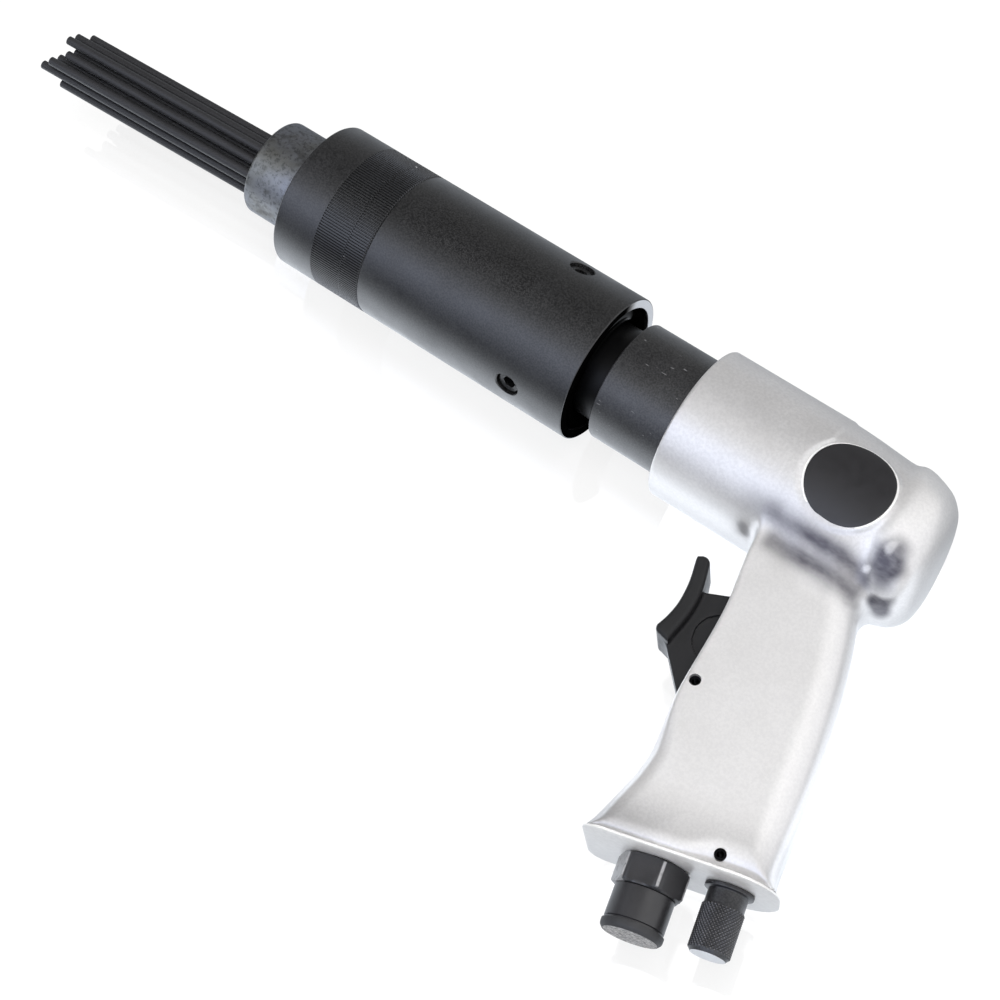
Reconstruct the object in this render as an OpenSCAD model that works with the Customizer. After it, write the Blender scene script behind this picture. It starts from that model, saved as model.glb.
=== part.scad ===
// Pistol-grip needle scaler, lying on its right side: needles towards -X, handle towards -Y, left side up.
// Sizes are in millimetres. The barrel axis is the drawing's X axis, with x = 0 at the rear end of the tube.

/* [Tube and sleeve] */
// Outside diameter of the rear tube and the front sleeve
tube_d = 50; // [47:0.5:54]
// Wall of the rear tube
tube_wall = 3; // [2.5:0.1:3.5]
// Length of the rear tube
tube_len = 80; // [78:1:90]
// Length of the front sleeve ahead of the tube
sleeve_len = 34.5; // [32:0.5:42]
// Thickness of the sleeve's front wall
sleeve_front = 5; // [3:0.5:8]
// Length of the knurled band at the sleeve's rear end
knurl_len = 19; // [10:1:24]
// Depth of the knurl
knurl_depth = 0.3; // [0.1:0.05:0.6]
// Distance of the set screws from the tube's rear end
set_screw_x = 20.7; // [19:0.1:23]
// Diameter of a set screw
set_screw_d = 8; // [5:0.5:9]
// Depth of a set screw's top below the tube's surface
set_screw_sink = 1.3; // [0.3:0.1:1.6]
// Thickness of a rubber buffer ring
buffer_d = 5.8; // [5:0.1:5.9]

/* [Nose and needles] */
// Outside diameter of the steel nose
nose_d = 33; // [31.5:0.5:36]
// Length of the nose ahead of the sleeve
nose_len = 20; // [12:0.5:30]
// Diameter of the nose's opening
nose_bore_d = 26.6; // [26.4:0.1:28]
// Width of the nose's collar behind the sleeve's front wall
nose_collar = 4; // [3:0.5:6]
// Diameter of a needle
needle_d = 3; // [2.6:0.1:3.1]
// Length of a needle
needle_len = 171.6; // [160:0.2:190]
// Distance between neighbouring needles
needle_pitch = 4.5; // [4.4:0.05:4.6]
// Diameter of a needle's head
needle_head_d = 4.1; // [3.9:0.05:4.2]
// Thickness of a needle's head
needle_head_len = 3; // [2:0.5:4]
// Length that a needle can slide between its holder and the anvil
needle_play = 11; // [8:0.5:11.5]
// Turn of the needle pattern about the barrel axis
needle_turn = 20; // [0:1:60]
// Lean of the loose needles towards the handle side
needle_lean = 1.7; // [0:0.1:1.8]

/* [Hammer] */
// Outside diameter of the cylinder between tube and housing
cylinder_d = 40; // [38:0.5:41]
// Diameter of the cylinder's neck inside the tube
neck_d = 32; // [30:0.5:32.4]
// Length of the neck
neck_len = 43.7; // [42:0.1:48]
// Gap between the tube's rear end and the cylinder's shoulder
shoulder_gap = 7; // [4:0.5:10]
// Diameter of the piston's bore
bore_d = 19; // [16:0.5:20]
// Length of the piston
piston_len = 45; // [40:1:50]
// Travel of the piston
piston_stroke = 45; // [30:1:46]
// Thickness of the anvil's disc
anvil_disc = 8; // [6:0.5:9]
// Thickness of the needle holder's plate
holder_plate = 8; // [6:0.5:9]
// Travel of the holder against its spring
holder_travel = 6; // [3:0.5:6]
// Wire diameter of the return spring
spring_wire = 2.6; // [2:0.1:3]

/* [Housing] */
// Diameter of the housing's round body
housing_d = 50.6; // [49:0.2:54]
// Distance from the tube's rear end to the housing's front
housing_front = 33; // [32:0.5:38]
// Length of the housing's body
housing_len = 86.5; // [85:0.5:92]
// Rounding of the body's rear edge
rear_round = 17; // [12:0.5:20]
// Diameter of the name disc
disc_d = 26.5; // [20:0.5:27]
// Thickness of the name disc
disc_t = 0.6; // [0.4:0.1:1]

/* [Handle] */
// Lean of the handle
handle_lean = 15.8; // [10:0.2:20]
// Place of the handle's inlet axis along the barrel axis
handle_x = 68.4; // [66:0.2:70]
// Length of the handle from the barrel axis to its foot
handle_len = 124.2; // [118:0.2:132]
// Thickness of the grip
grip_w = 30; // [28:0.5:33]
// Distance from the inlet axis to the grip's back
grip_back = 35.4; // [34:0.2:38]
// Width of the foot's rim
rim_w = 36; // [34:0.5:40]
// Reach of the rim ahead of the inlet axis
rim_front = 21.4; // [18:0.2:24]
// Reach of the rim behind the inlet axis
rim_back = 36.4; // [35.6:0.2:40]
// Thickness of the rim
rim_t = 1.6; // [1:0.1:3]
// Diameter of the trigger pin and the regulator's pin
pin_d = 3.5; // [3:0.1:3.8]

/* [Trigger and throttle] */
// Width of the finger blade
blade_w = 18; // [14:0.5:22]
// Width of the trigger's web
web_w = 10; // [8:0.5:11]
// Distance of the trigger pin from the barrel axis along the handle
trigger_pin_s = 73.5; // [72:0.1:75]
// Turn of the trigger when it is pulled
trigger_turn = 8; // [4:0.5:8]
// Distance of the throttle stem from the barrel axis along the handle
throttle_s = 50; // [48:0.5:52]
// Diameter of the throttle stem
stem_d = 4; // [3:0.1:5]

/* [Air inlet and regulator] */
// Width of the inlet's hexagon across its flats
hex_af = 19; // [18:0.2:20]
// Length of the hexagon
hex_len = 9; // [6:0.5:10]
// Diameter of the inlet's spigot
spigot_d = 17.8; // [16:0.2:17.8]
// Length of the spigot
spigot_len = 11.4; // [8:0.2:14]
// Bore of the quarter-inch inlet thread
inlet_bore_d = 11.4; // [10:0.1:12]
// Depth of the inlet thread
inlet_thread = 14; // [10:0.5:16]
// Diameter of the dust cap
cap_d = 19.6; // [19:0.1:20.4]
// Thickness of the dust cap's end
cap_t = 1.5; // [1:0.1:2.5]
// Distance between the inlet axis and the regulator axis
regulator_t = 22.1; // [21.5:0.1:23]
// Diameter of the regulator's knob
knob_d = 12.7; // [11:0.1:13.5]
// Length of the regulator below the handle's foot
knob_len = 20.1; // [16:0.1:24]
// Diameter of the regulator's stem
regulator_stem_d = 11; // [10:0.1:11]

/* [Fits] */
// Radial clearance of pieces that run in each other
run_fit = 0.05; // [0.02:0.01:0.1]
// Gap between pieces that move apart
free_gap = 0.3; // [0.2:0.05:0.5]

/* [Hidden] */
$fn = 96;
STEEL = "#8d9094";
BLACK_STEEL = "#232427";
ALUMINIUM = "#c9cbce";
RUBBER = "#141416";
BLACK_PLASTIC = "#1c1c1e";
BRASS = "#b08d4a";

// Barrel pieces along x, from the needles' end to the rear
tube_r = tube_d / 2;
tube_bore_r = tube_r - tube_wall;
sleeve_x = -tube_len - sleeve_len;
thread_wall = 1.7;
sleeve_bore_r = tube_bore_r - thread_wall;
nose_r = nose_d / 2;
nose_x = sleeve_x - nose_len;
nose_collar_x = sleeve_x + sleeve_front;
nose_rear_x = nose_collar_x + nose_collar;
nose_collar_r = sleeve_bore_r - free_gap;
nose_chamfer = 1.2;
edge_chamfer = 0.8;
over = 1;  // how far a cut runs past the face it opens

// Cylinder, anvil and needle holder
cylinder_r = cylinder_d / 2;
neck_r = neck_d / 2;
neck_x = shoulder_gap - neck_len;
barrel_seat = 51;
valve_x = housing_front + barrel_seat;
bore_r = bore_d / 2;
piston_r = bore_r - run_fit;
piston_rear_gap = 1.5;
piston_edge = 1;
exhaust_inset = 22;
exhaust_x = housing_front + exhaust_inset;
exhaust_r = 2;
exhaust_angles = [0, 90, 180, 270];
piston_x = valve_x - piston_rear_gap - piston_len;
anvil_rear_x = neck_x - free_gap;
anvil_x = anvil_rear_x - anvil_disc;
anvil_r = tube_bore_r - free_gap - 2 * run_fit;
anvil_shank_end = piston_x - piston_stroke - free_gap;
holder_r = tube_bore_r - free_gap;
holder_rim_x = anvil_x - free_gap;
holder_rim = 3.5;
head_space = needle_head_len + needle_play;
holder_rear_x = anvil_x - head_space;
holder_x = holder_rear_x - holder_plate;
holder_mid_x = holder_x + holder_plate / 2;
thread_end_gap = 1;
sleeve_thread_end = holder_x - holder_travel - thread_end_gap;
needle_r = needle_d / 2;
hole_gap = 0.25;
holder_hole_r = needle_r + hole_gap;
spring_gap = 0.1;
spring_r = nose_bore_d / 2 + 4 * spring_gap + spring_wire;
spring_turns = 6;

// Collar, set screws and buffer rings between neck and tube
collar_len = 17;
collar_x = -set_screw_x - collar_len / 2;
collar_r = tube_bore_r - 2 * run_fit;
set_screw_r = set_screw_d / 2;
set_screw_angles = [75, 195, 315];
socket_af = set_screw_d / 2;
socket_depth = 4;
buffer_r = (neck_r + tube_bore_r) / 2;
buffer_gap = 0.3;

// Housing body and what is stacked in its bore
housing_r = housing_d / 2;
housing_rear = housing_front + housing_len;
rim_round = 1.6;
front_len = 43;
waist_len = 22.5;
waist_x = housing_front + front_len;
waist_end_x = waist_x + waist_len;
waist_step = 0.4;
waist_r = housing_r - 1.6;
bulge_x = waist_end_x + 3.5;
bulge_r = housing_r - 0.7;
housing_bore_r = cylinder_r + run_fit;
valve_len_front = 6;
valve_len_rear = 8;
valve_mid_x = valve_x + valve_len_front;
valve_rear_x = valve_mid_x + valve_len_rear;
valve_r = housing_bore_r - run_fit;
valve_disc_r = 13;
valve_disc_t = 1.6;
valve_lift = 0.5;
valve_gap = 0.1;
valve_lip_r = bore_r - 3;
valve_port_r = 2;
valve_port_angles = [0:60:300];
dowel_r = 1.5;
dowel_inset = 2;
dowel_z = (valve_disc_r + valve_r) / 2;
chamber_r = housing_bore_r - 4;
rear_wall = 7;
chamber_end_x = housing_rear - rear_wall;
disc_inset = 55;
disc_x = housing_front + disc_inset;
disc_r = disc_d / 2;
disc_pad_margin = 1;
disc_pad_r = disc_r + disc_pad_margin;
disc_pad_rise = 0.9;
disc_bend_r = waist_r + disc_pad_rise;
disc_root_r = housing_bore_r + 1.5;
handle_fillet = 8;
root_top = 8;
root_trim = 4;
root_trim_y = 0.62 * waist_r;
seal_d = 2;
seal_gap = 0.2;
seal_x = housing_front + 8;

// Handle, measured down the handle (s) and back from the inlet axis (t)
grip_half = grip_w / 2;
rim_half = rim_w / 2;
rim_s = handle_len - rim_t;
grip_front_top = 2.6;
grip_front_low = 10.6;
grip_top_s = 34;
grip_low_s = handle_len - 26;
flare_power = 1.3;
grip_root = 20;
back_taper = 3.4;
back_taper_end_s = 60;
back_tuck = 1.2;
side_flare_power = 1.5;
front_round_top = 3;
front_round_low = 9;
front_round_rim = 6;
back_round = 10;
back_round_rim = 14;
rim_rise = 0.3;
slot_w = web_w + 2 * free_gap + 0.2;
slot_above = 11;
slot_below = 8;
slot_top_s = throttle_s - slot_above;
slot_end_s = trigger_pin_s + slot_below;
pin_r = pin_d / 2;
pin_wall = 0.7;
trigger_pin_t = -5.3;
pin_inset = 1.8;
trigger_pin_len = grip_w - 2 * pin_inset;

// Trigger outline: the blade's two ends and the depth of its finger hollow
blade_reach = 38;
blade_low_reach = 14.7;
blade_top_depth = 18.2;
blade_low_depth = 22.4;
blade_top = [trigger_pin_s - blade_reach, -blade_top_depth];
blade_low = [trigger_pin_s - blade_low_reach, -blade_low_depth];
blade_hollow = 2.4;
blade_t = 4.4;
blade_steps = 10;
web_reach = 29.5;
web_top_s = trigger_pin_s - web_reach;
web_back_t = -1;
hub_r = 4.6;
hub_start = 100;
hub_end = -20;
web_tip_reach = 3.2;
web_waist_reach = 12;
web_tip = [trigger_pin_s + web_tip_reach, trigger_pin_t - hub_r];
web_waist_s = trigger_pin_s - web_waist_reach;
heel = [[blade_low[0] + 2, blade_low[1] + 0.6], [blade_low[0] + 4.5, blade_low[1] + 4.2]];
web_front = [[blade_low[0] + 1.7, blade_low[1] + 2.9], [web_top_s + 1.5, blade_top[1] + 3.2]];
slot_gap = 1.4;
slot_back_t = web_back_t + (trigger_pin_s - web_top_s) * sin(trigger_turn) + slot_gap;

// Throttle stem, bush and spring along t
stem_r = stem_d / 2;
stem_nose_t = web_back_t + free_gap;
bush_r = 6;
bush_end_t = 9;
seat_t = 12;
seat_end_t = 13;
seat_hole_r = stem_r + 1.2;
stem_seal_t = 0.9;
stem_seal_edge = 0.2;
stem_head_t = seat_end_t + spring_gap + stem_seal_t;
stem_head_len = 3;
stem_head_r = stem_r + 2.5;
stem_tail_r = 1.5;
stem_tail_len = 4;
throttle_chamber_t = 22;
throttle_spring_end_t = 29;
throttle_spring_r = 2.8;
throttle_wire = 0.9;
throttle_spring_turns = 5;

// Air inlet and dust cap along s
inlet_screw_len = 16;
screw_relief = 2;
inlet_hole_s = handle_len - inlet_screw_len - screw_relief;
hex_turn = 40;
inlet_screw_r = spigot_d / 2 - 0.9;
spigot_r = spigot_d / 2;
hex_end_s = handle_len + hex_len;
spigot_end_s = hex_end_s + spigot_len;
inlet_bore_r = inlet_bore_d / 2;
inlet_seat_s = spigot_end_s - inlet_thread;
inlet_flow_r = inlet_bore_r - 1.2;
screen_t = 0.8;
screen_r = inlet_bore_r - 0.5;
screen_s = inlet_seat_s - screen_t - spring_gap;
screen_angles = [0:60:300];
screen_hole_r = 0.9;
screen_ring_r = 3.2;
cap_r = cap_d / 2;
cap_skirt = 1.2;
cap_s = spigot_end_s + free_gap;
cap_end_s = cap_s + cap_t;
cap_edge = 0.5;

// Regulator along s
regulator_stem_r = regulator_stem_d / 2;
regulator_stem_len = 24;
regulator_tip_s = handle_len - regulator_stem_len;
regulator_bore_r = regulator_stem_r + run_fit;
knob_r = knob_d / 2;
knob_end_s = handle_len + knob_len;
knob_flange = 1.4;
knob_flange_gap = 0.2;
knob_flange_r = knob_r + 1;
knob_neck_len = 4.4;
knob_neck_r = knob_r - 0.5;
knob_edge = 0.9;
regulator_pin_s = handle_len - 4.8;
regulator_pin_off = 4.4;
regulator_groove_r = regulator_pin_off - pin_r - 2 * run_fit;
regulator_groove_w = pin_d + 0.4;
regulator_seal_s = handle_len - 13;
regulator_port_s = regulator_tip_s + 5;
regulator_port_r = 3;
regulator_cross_r = 2.5;

// Air ways inside the housing
air_r = 4;
outlet_t = (bush_end_t + seat_t) / 2;
outlet_r = 2.5;
channel_r = 3;
channel_y = -housing_bore_r - 0.5;
channel_x0 = handle_x + 10;
channel_x1 = valve_rear_x + 4;

// Share of the play by which each needle has slid forward
needle_shares = [
    0.24, 0.93, 0.53,
    0.12, 0.03, 0.54, 0.13,
    0.08, 0.02, 0.05, 0.15, 0.36,
    0.06, 0.10, 0.22, 0.38,
    0.17, 0.11, 0.13];

// Outer limits, which place the frame under the middle of the whole tool
x_low = min([for (i = [0:18]) needle_tip_x(i)]);
x_high = handle_x + sin(handle_lean) * handle_len + cos(handle_lean) * rim_back;
y_low = -cos(handle_lean) * cap_end_s - sin(handle_lean) * (cap_r - cap_edge);
y_high = housing_r;
frame_shift = [-(x_low + x_high) / 2, -(y_low + y_high) / 2, housing_r];

// Needle pattern: a hexagon of three rings, with every needle slid forward by its own share of the play
needle_cells = [for (q = [-2:2]) for (r = [max(-2, -q - 2):min(2, 2 - q)]) [q, r]];
needle_names = [for (i = [1:19]) str("needle_", i < 10 ? "0" : "", i)];
function needle_place(i) =
    let (q = needle_cells[i][0], r = needle_cells[i][1])
    let (u = needle_pitch * (q + r / 2), v = needle_pitch * r * sqrt(3) / 2)
    [u * cos(needle_turn) - v * sin(needle_turn), u * sin(needle_turn) + v * cos(needle_turn)];
function needle_slid(i) = needle_play * needle_shares[i];
function needle_head_x(i) = anvil_x - needle_slid(i) - free_gap;
function needle_tip_x(i) = needle_head_x(i) - cos(needle_lean) * needle_len;

// Shared shapes

// Moves a piece from the barrel axis to the frame under the tool
module placed() {
    translate(frame_shift) children();
}

// Rod along the barrel axis from x0 to x1
module rod(x0, x1, r) {
    translate([x0, 0, 0]) rotate([0, 90, 0]) cylinder(h = x1 - x0, r = r);
}

// Turned piece about the barrel axis: the outline gives radius and x
module turned(outline) {
    rotate([0, 90, 0]) rotate_extrude() polygon(outline);
}

// Rubber ring about the barrel axis
module barrel_ring(x, r, d) {
    translate([x, 0, 0]) rotate([0, 90, 0]) rotate_extrude() translate([r, 0]) circle(d = d);
}

// Local frame of the handle: x runs down the handle, y runs back from the inlet axis
module in_handle() {
    placed() translate([handle_x, 0, 0]) rotate([0, 0, handle_lean - 90]) children();
}

// Rod down the handle at distance t from the inlet axis
module handle_rod(t, s0, s1, r) {
    translate([s0, t, 0]) rotate([0, 90, 0]) cylinder(h = s1 - s0, r = r);
}

// Rod through the handle from front to back
module throttle_rod(t0, t1, r) {
    translate([throttle_s, t0, 0]) rotate([-90, 0, 0]) cylinder(h = t1 - t0, r = r);
}

// Rod across the handle, centred
module cross_rod(s, t, across, r) {
    translate([s, t, -across / 2]) cylinder(h = across, r = r);
}

// Wound spring along z, between the planes z = 0 and z = height
module coil(r, wire, height, turns) {
    sides = 6;
    steps = 8;
    rings = steps * turns;
    rise = height - wire;
    points = [for (i = [0:rings]) for (k = [0:sides - 1])
        let (a = 360 * turns * i / rings, c = 360 * k / sides, q = r + wire / 2 * cos(c))
        [q * cos(a), q * sin(a), wire / 2 + rise * i / rings + wire / 2 * sin(c)]];
    walls = [for (i = [0:rings - 1]) for (k = [0:sides - 1]) for (h = [0, 1])
        let (a = i * sides + k, b = i * sides + (k + 1) % sides)
        h == 0 ? [a, b, a + sides] : [b, b + sides, a + sides]];
    first = [for (k = [1:sides - 2]) [0, k + 1, k]];
    last = [for (k = [1:sides - 2]) [rings * sides, rings * sides + k, rings * sides + k + 1]];
    polyhedron(points, concat(walls, first, last));
}

// Points of an arc about c
function arc(c, r, a0, a1, n) =
    [for (i = [0:n]) let (a = a0 + (a1 - a0) * i / n) c + r * [cos(a), sin(a)]];

function mix(a, b, f) = a + (b - a) * f;
function share(s, s0, s1) = min(1, max(0, (s - s0) / (s1 - s0)));

// Grip outline at distance s down the handle
function flare(s) = pow(share(s, grip_low_s, rim_s), flare_power);
function grip_slope(s) = mix(grip_front_top, grip_front_low, (s - grip_top_s) / (grip_low_s - grip_top_s));
function grip_front(s) = -mix(grip_slope(s), rim_front, flare(s));
function grip_taper(s) = back_taper * (1 - share(s, grip_top_s, back_taper_end_s)) + back_tuck * flare(s);
function grip_rear(s) = s < rim_s ? grip_back - grip_taper(s) : rim_back;
function grip_side(s) = mix(grip_half, rim_half, pow(flare(s), side_flare_power));
function grip_front_round(s) =
    let (down = share(s, trigger_pin_s, grip_low_s))
    mix(mix(front_round_top, front_round_low, down), front_round_rim, flare(s));
function grip_rear_round(s) = mix(back_round, back_round_rim, flare(s));

// One section of the grip, a rectangle with its own rounding at the front and at the back
function grip_section(s) =
    let (f = grip_front(s), b = grip_rear(s), w = grip_side(s))
    let (rf = grip_front_round(s), rb = grip_rear_round(s))
    let (flat = concat(
        arc([f + rf, w - rf], rf, 180, 90, 4), arc([b - rb, w - rb], rb, 90, 0, 5),
        arc([b - rb, rb - w], rb, 0, -90, 5), arc([f + rf, rf - w], rf, -90, -180, 4)))
    [for (p = flat) [s, p[0], p[1]]];

// Grip as one skin over its sections
module grip() {
    steps = 12;
    stations = concat(
        [grip_top_s - grip_root],
        [for (i = [0:steps]) mix(grip_top_s, rim_s - rim_rise, i / steps)],
        [rim_s, handle_len]);
    rings = [for (s = stations) grip_section(s)];
    n = len(rings[0]);
    last = (len(rings) - 1) * n;
    points = [for (ring = rings) for (p = ring) p];
    walls = [for (i = [0:len(rings) - 2]) for (k = [0:n - 1]) for (h = [0, 1])
        let (a = i * n + k, b = i * n + (k + 1) % n)
        h == 0 ? [a, b, a + n] : [b, b + n, a + n]];
    top = [for (k = [1:n - 2]) [0, k + 1, k]];
    foot = [for (k = [1:n - 2]) [last, last + k, last + k + 1]];
    polyhedron(points, concat(walls, top, foot));
}

// Housing

// Round body with its rolled front rim, waist and domed rear
module housing_body() {
    turned(concat(
        [[0, housing_front]],
        arc([housing_r - rim_round, housing_front + rim_round], rim_round, -90, 0, 6),
        [[housing_r, waist_x], [housing_r - waist_step, waist_x + waist_step]],
        [[waist_r, waist_end_x], [bulge_r, bulge_x]],
        arc([bulge_r - rear_round, housing_rear - rear_round], rear_round, 0, 90, 12),
        [[0, housing_rear]]));
}

// Hollow fillet between the round body and the flat sides of the grip
module handle_root() {
    reach = waist_r + handle_fillet;
    side = grip_half - run_fit;
    centre_z = side + handle_fillet;
    centre_y = -sqrt(reach * reach - centre_z * centre_z);
    x0 = handle_x + grip_front_low;
    x1 = bulge_x + rim_round;
    translate([x0, 0, 0]) rotate([90, 0, 90]) linear_extrude(x1 - x0) difference() {
        translate([centre_y, -centre_z]) square([-centre_y - root_top, 2 * centre_z]);
        for (k = [-1, 1]) translate([centre_y, k * centre_z]) circle(r = handle_fillet);
        for (k = [-1, 1]) scale([1, k]) translate([-root_trim_y, side + root_trim])
            square([waist_r, handle_fillet]);
    }
}

// Round patch of the ring between two radii, on the left side round the name disc's middle
module disc_zone(inner_r, outer_r, patch_r) {
    intersection() {
        translate([disc_x, 0, grip_half]) cylinder(h = housing_r, r = patch_r);
        difference() {
            rod(disc_x - disc_pad_r - over, disc_x + disc_pad_r + over, outer_r);
            rod(disc_x - disc_pad_r - 2 * over, disc_x + disc_pad_r + 2 * over, inner_r);
        }
    }
}

module housing() {
    color(ALUMINIUM) difference() {
        union() {
            placed() housing_body();
            placed() handle_root();
            placed() disc_zone(disc_root_r, disc_bend_r, disc_pad_r);
            in_handle() grip();
        }
        placed() disc_zone(disc_bend_r, housing_r + over, disc_pad_r);
        placed() rod(housing_front - over, valve_rear_x, housing_bore_r);
        placed() rod(valve_rear_x - over, chamber_end_x, chamber_r);
        in_handle() translate([slot_top_s, -rim_front, -slot_w / 2])
            cube([slot_end_s - slot_top_s, rim_front + slot_back_t, slot_w]);
        in_handle() throttle_rod(0, throttle_chamber_t, bush_r + run_fit);
        in_handle() throttle_rod(0, throttle_spring_end_t, air_r);
        in_handle() cross_rod(trigger_pin_s, trigger_pin_t, rim_w, pin_r + run_fit);
        in_handle() handle_rod(0, inlet_hole_s, handle_len + over, inlet_screw_r + run_fit);
        in_handle() handle_rod(0, regulator_port_s - regulator_port_r, handle_len, inlet_flow_r);
        in_handle() handle_rod(regulator_t, regulator_tip_s - over, handle_len + over, regulator_bore_r);
        in_handle() handle_rod(regulator_t, throttle_s, handle_len, air_r);
        in_handle() translate([regulator_port_s, 0, 0]) rotate([-90, 0, 0])
            cylinder(h = regulator_t, r = regulator_port_r);
        in_handle() cross_rod(regulator_pin_s, regulator_t - regulator_pin_off, rim_w, pin_r + run_fit);
        in_handle() handle_rod(outlet_t, -channel_y - outlet_r, throttle_s, outlet_r);
        placed() translate([0, channel_y, 0]) rod(channel_x0, channel_x1, channel_r);
    }
}

module name_disc() {
    color(BLACK_PLASTIC) placed() disc_zone(disc_bend_r, disc_bend_r + disc_t, disc_r);
}

// Hammer

module barrel() {
    color(BLACK_STEEL) placed() difference() {
        turned([
            [bore_r, neck_x], [neck_r, neck_x], [neck_r, shoulder_gap],
            [cylinder_r - edge_chamfer, shoulder_gap], [cylinder_r, shoulder_gap + edge_chamfer],
            [cylinder_r, valve_x], [bore_r, valve_x]]);
        barrel_ring(seal_x, cylinder_r, seal_d + seal_gap);
        for (a = exhaust_angles) translate([exhaust_x, 0, 0]) rotate([a, 0, 0])
            cylinder(h = cylinder_d, r = exhaust_r);
    }
}

module barrel_seal() {
    color(RUBBER) placed() intersection() {
        barrel_ring(seal_x, cylinder_r, seal_d);
        rod(seal_x - seal_d, seal_x + seal_d, cylinder_r);
    }
}

module valve_case_front() {
    color(STEEL) placed() difference() {
        rod(valve_x, valve_mid_x, valve_r);
        rod(valve_x - over, valve_mid_x + over, valve_lip_r);
        valve_dowel_hole();
    }
}

module valve_case_rear() {
    recess = valve_disc_t + valve_lift + 2 * valve_gap;
    color(STEEL) placed() difference() {
        rod(valve_mid_x, valve_rear_x, valve_r);
        rod(valve_mid_x - over, valve_mid_x + recess, valve_disc_r + run_fit);
        for (a = valve_port_angles) rotate([a, 0, 0]) translate([0, valve_disc_r / 2, 0])
            rod(valve_mid_x, valve_rear_x + over, valve_port_r);
        valve_dowel_hole();
    }
}

module valve_dowel_hole() {
    translate([0, 0, dowel_z]) rod(valve_x + dowel_inset, valve_rear_x - dowel_inset, dowel_r + run_fit);
}

module valve_dowel() {
    end_gap = dowel_inset + 2 * valve_gap;
    color(STEEL) placed() translate([0, 0, dowel_z]) rod(valve_x + end_gap, valve_rear_x - end_gap, dowel_r);
}

module valve_disc() {
    color(STEEL) placed() rod(valve_mid_x + valve_gap, valve_mid_x + valve_gap + valve_disc_t, valve_disc_r);
}

module piston() {
    color(STEEL) placed() turned([
        [0, piston_x], [piston_r - piston_edge, piston_x], [piston_r, piston_x + piston_edge],
        [piston_r, piston_x + piston_len - piston_edge], [piston_r - piston_edge, piston_x + piston_len],
        [0, piston_x + piston_len]]);
}

module anvil() {
    color(STEEL) placed() union() {
        rod(anvil_x, anvil_rear_x, anvil_r);
        rod(anvil_rear_x - over, anvil_shank_end, bore_r - run_fit);
    }
}

// Tube, sleeve and nose

module set_screw_holes(r, from_r) {
    for (a = set_screw_angles) translate([-set_screw_x, 0, 0]) rotate([a, 0, 0])
        translate([0, 0, from_r]) cylinder(h = tube_d, r = r);
}

module clamp_collar() {
    color(STEEL) placed() difference() {
        rod(collar_x, collar_x + collar_len, collar_r);
        rod(collar_x - over, collar_x + collar_len + over, neck_r + run_fit);
        set_screw_holes(set_screw_r + run_fit, 0);
    }
}

module buffer_rings() {
    for (k = [0, 1])
        color(RUBBER) placed() barrel_ring(-(0.5 + k) * (buffer_d + buffer_gap), buffer_r, buffer_d);
}

module rear_tube() {
    color(BLACK_STEEL) placed() difference() {
        turned([
            [tube_bore_r, -tube_len], [tube_r, -tube_len],
            [tube_r, -edge_chamfer], [tube_r - edge_chamfer, 0],
            [tube_bore_r + edge_chamfer / 2, 0], [tube_bore_r, -edge_chamfer / 2]]);
        set_screw_holes(set_screw_r + run_fit, 0);
    }
}

module set_screws() {
    top = tube_r - set_screw_sink;
    color(BLACK_STEEL) placed() for (a = set_screw_angles) translate([-set_screw_x, 0, 0]) rotate([a, 0, 0])
        difference() {
            translate([0, 0, neck_r + run_fit]) cylinder(h = top - neck_r - run_fit, r = set_screw_r);
            translate([0, 0, top - socket_depth])
                cylinder(h = socket_depth + over, d = socket_af / cos(30), $fn = 6);
        }
}

module front_sleeve() {
    thread_r = tube_bore_r - run_fit;
    knurl_x = -tube_len - knurl_len;
    color(BLACK_STEEL) placed() turned([
        [nose_r + run_fit, sleeve_x], [tube_r - edge_chamfer, sleeve_x], [tube_r, sleeve_x + edge_chamfer],
        [tube_r, knurl_x], [tube_r - knurl_depth, knurl_x], [tube_r - knurl_depth, -tube_len],
        [thread_r, -tube_len], [thread_r, sleeve_thread_end],
        [sleeve_bore_r, sleeve_thread_end], [sleeve_bore_r, nose_collar_x],
        [nose_r + run_fit, nose_collar_x]]);
}

module nose() {
    color(STEEL) placed() turned([
        [nose_bore_d / 2, nose_x], [nose_r - nose_chamfer, nose_x], [nose_r, nose_x + nose_chamfer],
        [nose_r, nose_collar_x], [nose_collar_r, nose_collar_x], [nose_collar_r, nose_rear_x],
        [nose_bore_d / 2, nose_rear_x]]);
}

// Needle pack

module needle_holder() {
    color(STEEL) placed() difference() {
        rod(holder_x, holder_rim_x, holder_r);
        rod(holder_rear_x, holder_rim_x + over, holder_r - holder_rim);
        for (i = [0:18]) translate([0, needle_place(i)[0], needle_place(i)[1]])
            rod(holder_x - over, holder_rear_x + over, holder_hole_r);
    }
}

module return_spring() {
    height = holder_x - nose_rear_x - 2 * spring_gap;
    color(STEEL) placed() translate([nose_rear_x + spring_gap, 0, 0]) rotate([0, 90, 0])
        coil(spring_r, spring_wire, height, spring_turns);
}

// One needle, with its head at the rear; it leans about its hole in the holder
module needle(i) {
    p = needle_place(i);
    back = needle_head_x(i) - holder_mid_x;
    color(BLACK_STEEL) placed() translate([holder_mid_x, p[0], p[1]]) rotate([0, 0, needle_lean])
        union() {
            rod(back - needle_len, back, needle_r);
            rod(back - needle_head_len, back, needle_head_d / 2);
        }
}

// Trigger and throttle

function blade_front(f) =
    [mix(blade_top[0], blade_low[0], f), mix(blade_top[1], blade_low[1], f) + 4 * blade_hollow * f * (1 - f)];

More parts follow.
